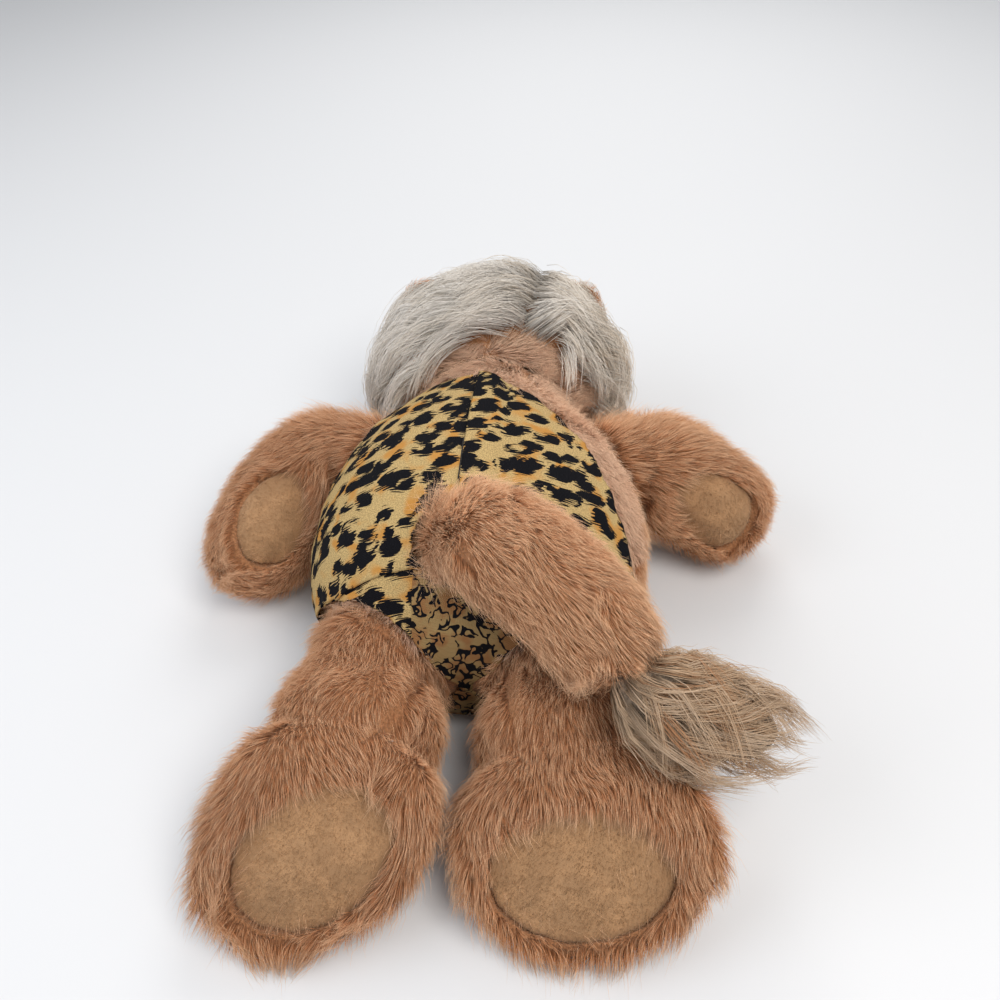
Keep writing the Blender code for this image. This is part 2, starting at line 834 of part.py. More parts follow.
def make_leg(name, side_sign, sole, toe_turn, plush, fibre, velour):
    pivot = Vector((side_sign * HIP_X, HIP_Y, HIP_Z))
    form = leg_form(pivot, sole, side_sign, toe_turn)
    skin, stuffing = stuffed_limb(name, form, plush, fibre)
    slope = Vector((0, math.sin(SOLE_TILT), math.cos(SOLE_TILT)))
    way = Vector((0, -math.cos(SOLE_TILT), math.sin(SOLE_TILT)))
    toe_way = Vector((side_sign * math.cos(toe_turn), 0, 0)) + slope * math.sin(toe_turn)
    pad = set_in_pad(
        name + "_sole_pad", skin, form, sole, way, toe_way,
        SOLE_PAD_HALF_LENGTH, SOLE_PAD_HALF_WIDTH, PLUSH * PAD_DEPTH_SHARE, velour,
    )
    for piece in (skin, stuffing, pad):
        on_pivot(piece, pivot)


def tail_route():
    return TAIL_ROOT, *TAIL_BENDS, TAIL_TIP


def tail_form():
    return limb_form(
        tail_route(), TAIL_ROOT_RADIUS, TAIL_RADIUS, TAIL_ROW_SHARES, TAIL_COLUMNS
    )


def make_tail(plush, fibre, hair):
    form = tail_form()
    skin = sock("tail_skin", form.grown(0), form.grown(-PLUSH), plush)
    stuffing = solid("tail_stuffing", form.grown(-PLUSH - GAP), fibre)
    heading = bezier_heading(tail_route(), 1)
    tuft_route = (TAIL_TIP - heading * TUFT_OVERLAP, *TUFT_BENDS, TUFT_END)
    rows = []
    for place, size in TUFT_ROW_SHARES:
        side, up = across(bezier_heading(tuft_route, place))
        radius = TUFT_RADIUS * size
        rows.append(oval(bezier(tuft_route, place), side, up, radius, radius, TUFT_COLUMNS))
    tuft = solid("tail_tuft", Form(tuft_route[0], rows, bezier(tuft_route, 1)), hair)
    combine(tuft, solid("tail_end", form.grown(GAP)), "DIFFERENCE")
    for piece in (skin, stuffing, tuft):
        on_pivot(piece, TAIL_ROOT)


# Head


def head_middle():
    return Vector((0, HEAD_Y, HEAD_Z))


def head_axes():
    """The head's right, its crown and the way that the face looks."""
    face = Vector((0, math.cos(HEAD_TILT), -math.sin(HEAD_TILT)))
    crown = Vector((0, math.sin(HEAD_TILT), math.cos(HEAD_TILT)))
    return Vector((1, 0, 0)), crown, face


def egg_form(middle, half_width, half_height, half_depth, columns, row_count, last_share=1.0):
    """Rings from the back of an egg to its face, or to a share of the way there."""
    right, crown, face = head_axes()
    rows = []
    for step in range(1, row_count + 1):
        turn = math.pi * last_share * step / (row_count + (1 if last_share == 1 else 0))
        centre = middle - face * half_depth * math.cos(turn)
        size = math.sin(turn)
        rows.append(oval(centre, right, crown, half_width * size, half_height * size, columns))
    start = middle - face * half_depth
    end_turn = math.pi * last_share
    return Form(start, rows, middle - face * half_depth * math.cos(end_turn))


def head_form(amount, rows=HEAD_ROWS):
    return egg_form(
        head_middle(),
        HEAD_HALF_WIDTH + amount,
        HEAD_HALF_HEIGHT + amount,
        HEAD_HALF_DEPTH + amount,
        HEAD_COLUMNS,
        rows,
    )


def head_surface(across_x, above):
    """The point of the face at a distance across and above its middle."""
    right, crown, face = head_axes()
    spread = 1 - (across_x / HEAD_HALF_WIDTH) ** 2 - (above / HEAD_HALF_HEIGHT) ** 2
    ahead = HEAD_HALF_DEPTH * math.sqrt(spread)
    point = head_middle() + right * across_x + crown * above + face * ahead
    normal = (
        right * across_x / HEAD_HALF_WIDTH**2
        + crown * above / HEAD_HALF_HEIGHT**2
        + face * ahead / HEAD_HALF_DEPTH**2
    )
    return point, normal.normalized()


def neck_funnel(name, angle):
    """All that lies further round the neck from the head than an angle."""
    radius = CUT_REACH * math.sin(angle)
    middle = neck_middle()
    rows = [
        oval(
            middle + Vector((0, along, 0)),
            Vector((1, 0, 0)),
            Vector((0, 0, 1)),
            radius,
            radius,
            FUNNEL_SEGMENTS,
        )
        for along in (CUT_REACH * math.cos(angle), -CUT_REACH)
    ]
    return solid(name, Form(middle, rows, middle + Vector((0, -CUT_REACH, 0))))


def cut_for_neck(target, angle):
    combine(target, neck_funnel("funnel", angle), "DIFFERENCE")
    combine(target, round_room(neck_middle(), NECK_RADIUS, NECK_ROOM_SEGMENTS), "DIFFERENCE")


def peg(name, middle, way, radius, low, high):
    side, up = across(way)
    outline = oval(middle, side, up, radius, radius, SMALL_SEGMENTS)
    return prism(name, outline, way, low, high)


def dome_post(name, middle, way, halves, post_low, finish):
    """A dome with a post behind it, as one solid. The halves are its width, height and depth."""
    right = Vector((1, 0, 0))
    up = way.cross(right).normalized()
    right = up.cross(way).normalized()
    half_width, half_height, half_depth = halves
    shape = bmesh.new()
    bmesh.ops.create_uvsphere(
        shape, u_segments=SMALL_SEGMENTS, v_segments=SMALL_RINGS, radius=1
    )
    turn = Matrix((right * half_width, up * half_height, way * half_depth)).transposed().to_4x4()
    bmesh.ops.transform(shape, matrix=Matrix.Translation(middle) @ turn, verts=shape.verts)
    bmesh.ops.recalc_face_normals(shape, faces=shape.faces)
    mesh = bpy.data.meshes.new(name)
    shape.to_mesh(mesh)
    shape.free()
    made = placed(name, mesh, finish)
    combine(made, peg("post", middle, way, POST_RADIUS, -post_low, 0), "UNION")
    return made


def washer(name, middle, way, low, finish):
    """A flat ring with a hole for a post."""
    made = peg(name, middle, way, WASHER_RADIUS, -low - WASHER_THICK, -low)
    made.data.materials.append(finish)
    hole = peg("hole", middle, way, POST_RADIUS + GAP, -low - OVERRUN, OVERRUN)
    combine(made, hole, "DIFFERENCE")
    return made


def make_head(plush, fibre, hard):
    skin = hollow("head_skin", head_form(0), head_form(-PLUSH), plush)
    cut_for_neck(skin, NECK_CLEAR_ANGLE)
    stuffing = solid("head_stuffing", head_form(-PLUSH - GAP), fibre)
    cut_for_neck(stuffing, NECK_CLEAR_ANGLE)
    for name, sign in (("left_eye", -1), ("right_eye", 1)):
        point, way = head_surface(sign * EYE_APART / 2, EYE_ABOVE)
        middle = point - way * EYE_SUNK
        seat = PLUSH - EYE_SUNK + GAP * 2
        halves = (EYE_RADIUS, EYE_RADIUS, EYE_RADIUS)
        bed = ball("bed", middle, EYE_RADIUS + GAP, BED_SEGMENTS)
        combine(skin, bed, "DIFFERENCE")
        hole = peg("hole", middle, way, POST_RADIUS + GAP, -OVERRUN / 2, 0)
        combine(skin, hole, "DIFFERENCE")
        low = max(seat, EYE_RADIUS + GAP)
        dome_post(name, middle, way, halves, low + WASHER_THICK + POST_TAIL, hard)
        washer(name + "_washer", middle, way, low, hard)
        room = low + WASHER_THICK + POST_TAIL + GAP
        pit = peg("pit", middle, way, WASHER_RADIUS + GAP, -room, OVERRUN)
        combine(stuffing, pit, "DIFFERENCE")
        pocket = peg("pocket", middle, way, WASHER_RADIUS + GAP, -room, -low + GAP)
        combine(skin, pocket, "DIFFERENCE")
    return skin, stuffing


def make_muzzle(plush, fibre, hard, thread):
    right, crown, face = head_axes()
    middle = head_middle() + face * MUZZLE_AHEAD - crown * MUZZLE_BELOW

    def form(amount):
        shape = egg_form(
            middle,
            MUZZLE_HALF_WIDTH + amount,
            MUZZLE_HALF_HEIGHT + amount,
            MUZZLE_HALF_DEPTH + amount,
            MUZZLE_COLUMNS,
            MUZZLE_ROWS,
        )
        rows = [[keep_above(point, FLOOR - amount) for point in row] for row in shape.rows]
        return Form(shape.start, rows, keep_above(shape.end, FLOOR - amount))

    skin = hollow("muzzle_skin", form(0), form(-MUZZLE_SKIN), plush)
    stuffing = solid("muzzle_stuffing", form(-MUZZLE_SKIN - GAP), fibre)
    for piece in (skin, stuffing):
        combine(piece, solid("head_room", head_form(GAP)), "DIFFERENCE")
    spread = math.sqrt(1 - (NOSE_ABOVE / MUZZLE_HALF_HEIGHT) ** 2)
    way = (face + crown * NOSE_ABOVE / MUZZLE_HALF_HEIGHT).normalized()
    nose = middle + crown * NOSE_ABOVE + face * MUZZLE_HALF_DEPTH * spread - way * NOSE_SUNK
    halves = (NOSE_HALF_WIDTH, NOSE_HALF_HEIGHT, NOSE_HALF_DEPTH)
    low = NOSE_HALF_DEPTH + GAP
    room = low + WASHER_THICK + POST_TAIL + GAP
    clear = tuple(half + GAP for half in halves)
    bed = dome_post("bed", nose, way, clear, low, hard)
    combine(skin, bed, "DIFFERENCE")
    combine(skin, peg("hole", nose, way, POST_RADIUS + GAP, -room, 0), "DIFFERENCE")
    combine(skin, peg("pocket", nose, way, WASHER_RADIUS + GAP, -room, -low + GAP), "DIFFERENCE")
    combine(stuffing, peg("pit", nose, way, WASHER_RADIUS + GAP, -room, OVERRUN), "DIFFERENCE")
    dome_post("nose", nose, way, halves, low + WASHER_THICK + POST_TAIL, hard)
    washer("nose_washer", nose, way, low, hard)
    make_mouth(middle, thread)


def make_mouth(middle, thread):
    """A stitched line with two curves that meet under the nose."""
    right, crown, face = head_axes()
    curve = bpy.data.curves.new("mouth_stitch", "CURVE")
    curve.dimensions = "3D"
    curve.bevel_depth = MOUTH_THREAD
    curve.bevel_resolution = 1
    curve.use_fill_caps = True
    line = curve.splines.new("POLY")
    line.points.add(MOUTH_POINTS - 1)
    lift = MOUTH_THREAD + GAP * 2
    for index, point in enumerate(line.points):
        share = 2 * index / (MOUTH_POINTS - 1) - 1
        x = share * MOUTH_HALF_WIDTH
        z = -MOUTH_DROP * abs(math.sin(math.pi * share))
        flat = 1 - (x / MUZZLE_HALF_WIDTH) ** 2 - (z / MUZZLE_HALF_HEIGHT) ** 2
        ahead = MUZZLE_HALF_DEPTH * math.sqrt(flat)
        way = (
            right * x / MUZZLE_HALF_WIDTH**2
            + crown * z / MUZZLE_HALF_HEIGHT**2
            + face * ahead / MUZZLE_HALF_DEPTH**2
        ).normalized()
        place = middle + right * x + crown * z + face * ahead + way * lift
        point.co = (*keep_above(place, FLOOR + MOUTH_THREAD), 1)
    made = bpy.data.objects.new("mouth_stitch", curve)
    made.data.materials.append(thread)
    bpy.context.scene.collection.objects.link(made)


def make_mane(hair):
    """A cap of pile on the back of the head, open where the neck goes in."""
    share = math.acos(-MANE_FRONT / HEAD_HALF_DEPTH) / math.pi
    outer = egg_form(
        head_middle(),
        HEAD_HALF_WIDTH + MANE_THICK,
        HEAD_HALF_HEIGHT + MANE_THICK,
        HEAD_HALF_DEPTH + MANE_THICK,
        HEAD_COLUMNS,
        MANE_ROWS,
        share,
    )
    outer.rows = [[keep_above(point, FLOOR) for point in row] for row in outer.rows]
    mane = solid("mane", outer, hair)
    combine(mane, solid("head_room", head_form(GAP)), "DIFFERENCE")
    cut_for_neck(mane, MANE_CLEAR_ANGLE)
    for sign in (-1, 1):
        combine(mane, ear_room(sign), "DIFFERENCE")


def ear_place(sign):
    """The middle of an ear's root and the ear's two directions."""
    right, crown, face = head_axes()
    turn = EAR_ANGLE * sign
    spread = math.sqrt(1 - (EAR_AHEAD / HEAD_HALF_DEPTH) ** 2)
    out = (
        right * math.sin(turn) / HEAD_HALF_WIDTH + crown * math.cos(turn) / HEAD_HALF_HEIGHT
    ).normalized()
    foot = (
        head_middle()
        + right * HEAD_HALF_WIDTH * spread * math.sin(turn)
        + crown * HEAD_HALF_HEIGHT * spread * math.cos(turn)
        + face * EAR_AHEAD
    )
    return foot + out * (EAR_THICK / 2 + GAP * 2), out, out.cross(face).normalized()


def ear_room(sign):
    """The opening of the mane that an ear stands and bends in."""
    face = head_axes()[2]
    pivot, out, along = ear_place(sign)
    half = along * (EAR_HALF_WIDTH + EAR_ROOM_BESIDE)
    top = out * (EAR_HEIGHT + OVERRUN)
    base = out * -OVERRUN
    outline = [pivot - half + base, pivot + half + base, pivot + half + top, pivot - half + top]
    return prism("ear_room", outline, face, -EAR_ROOM_AHEAD, OVERRUN)


def make_ear(name, sign, plush, lining_cloth):
    face = head_axes()[2]
    pivot, out, along = ear_place(sign)
    outline = []
    for step in range(EAR_POINTS):
        angle = math.pi * step / (EAR_POINTS - 1)
        outline.append(
            pivot + along * EAR_HALF_WIDTH * math.cos(angle) + out * EAR_HEIGHT * math.sin(angle)
        )
    for side in (-1, 1):
        outline.append(pivot + along * side * EAR_FOOT_HALF_WIDTH - out * EAR_THICK / 2)
    ear = prism(name, outline, face, -EAR_THICK / 2, EAR_THICK / 2)
    ear.data.materials.append(plush)
    inner = []
    for step in range(EAR_POINTS):
        angle = math.pi * step / (EAR_POINTS - 1)
        inner.append(
            pivot
            + along * (EAR_HALF_WIDTH - EAR_LINING_RIM) * math.cos(angle)
            + out * ((EAR_HEIGHT - EAR_LINING_RIM) * math.sin(angle) + EAR_LINING_LIFT)
        )
    low = EAR_THICK / 2 + GAP
    lining = prism(name + "_lining", inner, face, low, low + EAR_LINING_THICK)
    lining.data.materials.append(lining_cloth)
    for piece in (ear, lining):
        on_pivot(piece, pivot)


def main():
    clear_scene()
    plush = material("tan_plush", (0.55, 0.31, 0.17), 0.9)
    velour = material("pad_velour", (0.62, 0.50, 0.36), 0.85)
    hair = material("mane_plush", (0.72, 0.66, 0.56), 0.8)
    fibre = material("fibre_stuffing", (0.9, 0.9, 0.88), 1.0)
    print_cloth = material("leopard_print", (0.62, 0.42, 0.16), 0.7)
    trim = material("closure_tape", (0.05, 0.05, 0.05), 0.8)
    hard = material("black_plastic", (0.02, 0.018, 0.016), 0.25)
    thread = material("mouth_thread", (0.06, 0.04, 0.03), 0.7)
    make_body(plush, fibre)
    make_leotard(print_cloth, trim)
    make_arm("left_arm", -1, LEFT_ARM_BENDS, LEFT_ARM_TIP, LEFT_PAW_FACES, plush, fibre, velour)
    make_arm("right_arm", 1, RIGHT_ARM_BENDS, RIGHT_ARM_TIP, RIGHT_PAW_FACES, plush, fibre, velour)
    make_leg("left_leg", -1, LEFT_SOLE, LEFT_TOE_TURN, plush, fibre, velour)
    make_leg("right_leg", 1, RIGHT_SOLE, RIGHT_TOE_TURN, plush, fibre, velour)
    make_tail(plush, fibre, hair)
    make_head(plush, fibre, hard)
    make_muzzle(velour, fibre, hard, thread)
    make_mane(hair)
    make_ear("left_ear", -1, plush, velour)
    make_ear("right_ear", 1, plush, velour)


main()
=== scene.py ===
import json
import math

import bmesh
import bpy
import numpy as np
from bpy.props import FloatProperty, FloatVectorProperty, IntProperty, PointerProperty
from mathutils import Matrix, Vector
from mathutils.bvhtree import BVHTree
from mathutils.kdtree import KDTree


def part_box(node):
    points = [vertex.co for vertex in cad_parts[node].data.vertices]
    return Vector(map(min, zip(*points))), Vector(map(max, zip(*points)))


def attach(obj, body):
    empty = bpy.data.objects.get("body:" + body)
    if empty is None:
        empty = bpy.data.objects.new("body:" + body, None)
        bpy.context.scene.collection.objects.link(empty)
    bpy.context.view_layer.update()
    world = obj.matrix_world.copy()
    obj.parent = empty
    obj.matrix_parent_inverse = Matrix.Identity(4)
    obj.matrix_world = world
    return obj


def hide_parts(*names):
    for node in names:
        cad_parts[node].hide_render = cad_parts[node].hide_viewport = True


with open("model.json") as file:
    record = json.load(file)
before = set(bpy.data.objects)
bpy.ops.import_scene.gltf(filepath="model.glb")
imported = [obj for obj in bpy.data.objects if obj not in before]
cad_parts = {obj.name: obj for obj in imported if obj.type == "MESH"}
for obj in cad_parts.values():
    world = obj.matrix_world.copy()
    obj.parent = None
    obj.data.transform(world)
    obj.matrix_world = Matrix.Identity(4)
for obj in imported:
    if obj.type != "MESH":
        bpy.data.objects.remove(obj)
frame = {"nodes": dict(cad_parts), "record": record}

bl_info = {
    "name": "Plush lion",
    "version": (1, 0, 0),
    "blender": (4, 5, 0),
    "location": "3D view > Sidebar > Lion",
    "description": "A lying plush lion with combed fur and a printed leotard",
    "category": "Add Mesh",
}

MM = 0.001
FLOOR = 0.0
UV_MAP = "OFBake"
SIDES = ("left", "right")
MOST_STRAND_FACES = 190000


# Sizes and colours that a user may change


def length_setting(name, description, default):
    return FloatProperty(name=name, description=description, default=default, unit="LENGTH")


def colour_setting(name, description, *default):
    return FloatVectorProperty(name=name, description=description, subtype="COLOR", default=default)


class LionFur(bpy.types.PropertyGroup):
    pile: length_setting("Pile", "Length of the short fur", 0.0105)
    thickness: length_setting("Thickness", "Half the width of a strand", 0.00014)
    density: FloatProperty(name="Density", description="Strands on a square millimetre", default=0.39)
    under: FloatProperty(name="Undercoat", description="Short strands to each long one", default=2.55)
    lock: length_setting("Lock", "Length of a lock of the mane", 0.052)
    locks: IntProperty(name="Locks", description="Locks of the mane", default=350)


class LionColours(bpy.types.PropertyGroup):
    root: colour_setting("Fur root", "Fur at the backing", 0.30, 0.13, 0.05)
    middle: colour_setting("Fur", "Middle of the fur", 0.62, 0.28, 0.125)
    tip: colour_setting("Fur tip", "Ends of the fur", 0.95, 0.64, 0.41)
    mane: colour_setting("Mane", "Long locks", 0.80, 0.76, 0.71)
    tuft: colour_setting("Tuft", "Locks of the tail", 0.56, 0.42, 0.30)
    back: colour_setting("Back", "Short fur of the back", 0.84, 0.55, 0.39)
    pad: colour_setting("Pads", "Velour of soles and paws", 0.41, 0.23, 0.11)
    print_ground: colour_setting("Print ground", "Ground of the print", 0.53, 0.375, 0.165)


class LionCloth(bpy.types.PropertyGroup):
    thickness: length_setting("Cloth", "Thickness of the cloth", 0.0009)
    lift: length_setting("Lift", "Height of the cloth over the body", 0.0024)
    spot: length_setting("Spot", "Size of one cell of the print", 0.0110)


# Finishes

SHEEN_TINT = (1.0, 0.8, 0.6, 1.0)
NATURAL_TONES = (
    (0.0, (0.62, 0.52, 0.46)), (0.25, (0.86, 0.78, 0.72)), (0.5, (1.0, 0.95, 0.9)),
    (0.75, (1.0, 1.0, 1.0)), (1.0, (1.0, 1.0, 1.0)),
)
SHORT_TONES = ((0.0, (0.72, 0.62, 0.54)), (0.5, (0.95, 0.91, 0.88)), (1.0, (1.0, 1.0, 1.0)))
LOCK_TONES = (
    (0.0, (0.72, 0.46, 0.30)), (0.2, (0.80, 0.66, 0.52)), (0.45, (0.92, 0.86, 0.78)),
    (0.75, (1.0, 0.98, 0.95)), (1.0, (1.0, 1.0, 1.0)),
)
NAP_TONES = ((0.2, (0.72, 0.68, 0.63)), (0.5, (0.88, 0.86, 0.83)), (0.8, (1.0, 1.0, 1.0)))
PLASTICS = (
    ("eye_plastic", 0.12, (0.02, 0.016, 0.013)),
    ("nose_plastic", 0.32, (0.03, 0.02, 0.017)),
    ("washer_finish", 0.5, (0.7, 0.7, 0.68)),
)


def new_material(name, roughness, sheen=0.0, specular=0.5):
    made = bpy.data.materials.new(name)
    made.use_nodes = True
    shader = made.node_tree.nodes["Principled BSDF"]
    shader.inputs["Roughness"].default_value = roughness
    shader.inputs["Sheen Weight"].default_value = sheen
    shader.inputs["Sheen Tint"].default_value = SHEEN_TINT
    shader.inputs["Specular IOR Level"].default_value = specular
    return made.node_tree, shader


def feed(tree, socket, value):
    """Links a node's output to an input, or sets the input."""
    if isinstance(value, bpy.types.NodeSocket):
        tree.links.new(value, socket)
    else:
        socket.default_value = value


def add(tree, kind, inputs, **settings):
    """One shader node, with its inputs fed and its settings given by name."""
    made = tree.nodes.new("ShaderNode" + kind)
    for name, value in settings.items():
        setattr(made, name, value)
    for name, value in inputs.items():
        feed(tree, made.inputs[name], value)
    return made


def ramp(tree, factor, stops):
    """A colour ramp through (place, colour) stops."""
    made = add(tree, "ValToRGB", {"Fac": factor})
    line = made.color_ramp.elements
    while len(line) < len(stops):
        line.new(1.0)
    for spot, (place, colour) in zip(line, stops):
        spot.position = place
        spot.color = (*colour, 1.0)
    return made.outputs["Color"]


def level(tree, factor, low, high):
    """A share from 0 at low to 1 at high."""
    span = {"Value": factor, "From Min": low, "From Max": high}
    return add(tree, "MapRange", span, interpolation_type="SMOOTHSTEP").outputs["Result"]


def maths(tree, operation, *values):
    return add(tree, "Math", dict(enumerate(values)), operation=operation).outputs["Value"]


def vectors(tree, operation, first, second):
    inputs = {0: first, "Scale" if operation == "SCALE" else 1: second}
    return add(tree, "VectorMath", inputs, operation=operation).outputs["Vector"]


def mixed(tree, share, first, second, blend="MIX"):
    made = add(tree, "Mix", {0: share}, data_type="RGBA", blend_type=blend)
    for socket, colour in ((6, first), (7, second)):
        feed(tree, made.inputs[socket], (*colour, 1.0) if isinstance(colour, tuple) else colour)
    return made.outputs[2]


def noise(tree, place, scale, detail, distortion=0.0, output="Fac", **settings):
    inputs = {"Vector": place, "Scale": scale, "Detail": detail, "Distortion": distortion}
    return add(tree, "TexNoise", inputs, **settings).outputs[output]


def mapped(tree, place, scale=(1, 1, 1), turn=0.0):
    """Coordinates turned about Z and stretched."""
    inputs = {"Vector": place, "Rotation": (0, 0, turn), "Scale": scale}
    return add(tree, "Mapping", inputs).outputs["Vector"]


def object_place(tree):
    """Object coordinates in millimetres."""
    return mapped(tree, add(tree, "TexCoord", {}).outputs["Object"], (1 / MM, 1 / MM, 1 / MM))


def coat(tree, shader, colour, height, depth):
    """Gives a finish its colour, and its bump up to a depth."""
    tree.links.new(colour, shader.inputs["Base Color"])
    rise = add(tree, "Bump", {"Height": height, "Distance": depth})
    tree.links.new(rise.outputs["Normal"], shader.inputs["Normal"])


def scaled(colour, share):
    return tuple(min(1.0, channel * share) for channel in colour)


def shades(colour, root, middle, tip, middle_place=0.5):
    """Stops from root to tip in one colour, darker and paler."""
    return ((0.0, scaled(colour, root)), (middle_place, scaled(colour, middle)), (1.0, scaled(colour, tip)))


def hair_material(name, stops, tones, roughness=0.62, sheen=0.12):
    """A finish for strands: its map runs from root to tip along U and through the tones along V."""
    tree, shader = new_material(name, roughness, sheen, 0.3)
    place = add(tree, "UVMap", {}, uv_map=UV_MAP).outputs["UV"]
    parts = add(tree, "SeparateXYZ", {"Vector": place}).outputs
    colour = mixed(tree, 1.0, ramp(tree, parts["X"], stops), ramp(tree, parts["Y"], tones), "MULTIPLY")
    tree.links.new(colour, shader.inputs["Base Color"])


def patterned(name, roughness, sheen, kind, inputs, span, dark, pale, depth):
    """A finish whose colour and bump follow one pattern."""
    tree, shader = new_material(name, roughness, sheen)
    outputs = add(tree, kind, {"Vector": object_place(tree), **inputs}).outputs
    height = outputs["Distance" if kind == "TexVoronoi" else "Fac"]
    share = level(tree, height, *span) if span else height
    coat(tree, shader, mixed(tree, share, dark, pale), height, depth)


def velour_material(name, pad):
    tree, shader = new_material(name, 0.9, 0.35)
    place = object_place(tree)
    nap = noise(tree, place, 1.6, 6.0)
    wear = level(tree, noise(tree, place, 0.09, 3.0), 0.35, 0.68)
    ground = mixed(tree, wear, scaled(pad, 0.82), scaled(pad, 1.1))
    coat(tree, shader, mixed(tree, level(tree, nap, 0.3, 0.6), scaled(pad, 0.82), ground), nap, 0.4 * MM)


def print_material(name, straw):
    """Jagged dark blotches and tawny patches on a straw ground, on a plain weave."""
    cell = CLOTH_MAP_SIDE / bpy.context.scene.lion_cloth.spot
    tree, shader = new_material(name, 0.88, specular=0.12)
    place = add(tree, "UVMap", {}, uv_map=UV_MAP).outputs["UV"]
    bend = noise(tree, place, cell * 0.6, 1.0, output="Color")
    off = vectors(tree, "SCALE", vectors(tree, "SUBTRACT", bend, (0.5, 0.5, 0.5)), 0.75 / cell)
    warped = vectors(tree, "ADD", place, off)
    brush = mapped(tree, warped, (cell * 0.9, cell * 13, 1), -COMB_TURN)
    teeth = level(tree, noise(tree, brush, 1.0, 1.0, noise_dimensions="2D"), 0.32, 0.68)
    slide = maths(tree, "MULTIPLY", maths(tree, "SUBTRACT", teeth, 0.5), 0.27 / cell)
    comb = (math.cos(COMB_TURN), math.sin(COMB_TURN), 0)
    drawn = vectors(tree, "ADD", warped, vectors(tree, "SCALE", comb, slide))
    spots = mapped(tree, drawn, (cell * 0.82, cell * 1.12, 1), -COMB_TURN)
    inputs = {"Vector": spots, "Scale": 1.0, "Randomness": 0.9}
    blots = add(tree, "TexVoronoi", inputs, voronoi_dimensions="2D").outputs
    pick = add(tree, "SeparateColor", {"Color": blots["Color"]}).outputs["Red"]
    size = maths(tree, "MULTIPLY_ADD", pick, 0.24, 0.34)
    dark = level(tree, maths(tree, "SUBTRACT", size, blots["Distance"]), -0.012, 0.012)
    bites = level(tree, noise(tree, drawn, cell * 1.5, 0.5), 0.655, 0.635)
    warm = level(tree, noise(tree, warped, cell * 0.9, 1.5), 0.50, 0.66)
    grain = noise(tree, place, cell * 16, 3.0)
    pale = mixed(tree, level(tree, grain, 0.38, 0.62), scaled(straw, 0.72), scaled(straw, 1.12))
    ground = mixed(tree, warm, pale, (0.52, 0.25, 0.06))
    ink = mixed(tree, level(tree, grain, 0.55, 0.8), (0.004, 0.004, 0.006), (0.016, 0.016, 0.02))
    colour = mixed(tree, maths(tree, "MULTIPLY", dark, bites), ground, ink)
    coat(tree, shader, colour, cloth_weave(tree, place), 0.12 * MM)
    return tree, shader


def cloth_weave(tree, place):
    threads = []
    for turn in (0, math.pi / 2):
        inputs = {"Vector": mapped(tree, place, turn=turn), "Scale": CLOTH_MAP_SIDE / (2.6 * MM)}
        threads.append(add(tree, "TexWave", inputs).outputs["Fac"])
    return maths(tree, "ADD", *threads)


def gusset_material(name, straw):
    """Small looped lines on a duller ground between the legs, and the larger print beside it."""
    tree, shader = print_material(name, straw)
    large = shader.inputs["Base Color"].links[0].from_socket
    place = object_place(tree)
    worms = maths(tree, "SUBTRACT", noise(tree, place, 0.21, 0.4, 0.9), 0.5)
    line = level(tree, maths(tree, "ABSOLUTE", worms), 0.088, 0.068)
    line = maths(tree, "MULTIPLY", line, level(tree, noise(tree, place, 0.17, 0.0), 0.40, 0.43))
    mottle = level(tree, noise(tree, place, 0.10, 2.0), 0.4, 0.6)
    ground = mixed(tree, mottle, (0.34, 0.23, 0.10), (0.30, 0.15, 0.06))
    small = mixed(tree, line, ground, (0.005, 0.005, 0.007))
    across = maths(tree, "ABSOLUTE", add(tree, "SeparateXYZ", {"Vector": place}).outputs["X"])
    side = level(tree, across, GUSSET_HALF_WIDTH / MM, GUSSET_HALF_WIDTH / MM + 0.3)
    tree.links.new(mixed(tree, side, small, large), shader.inputs["Base Color"])


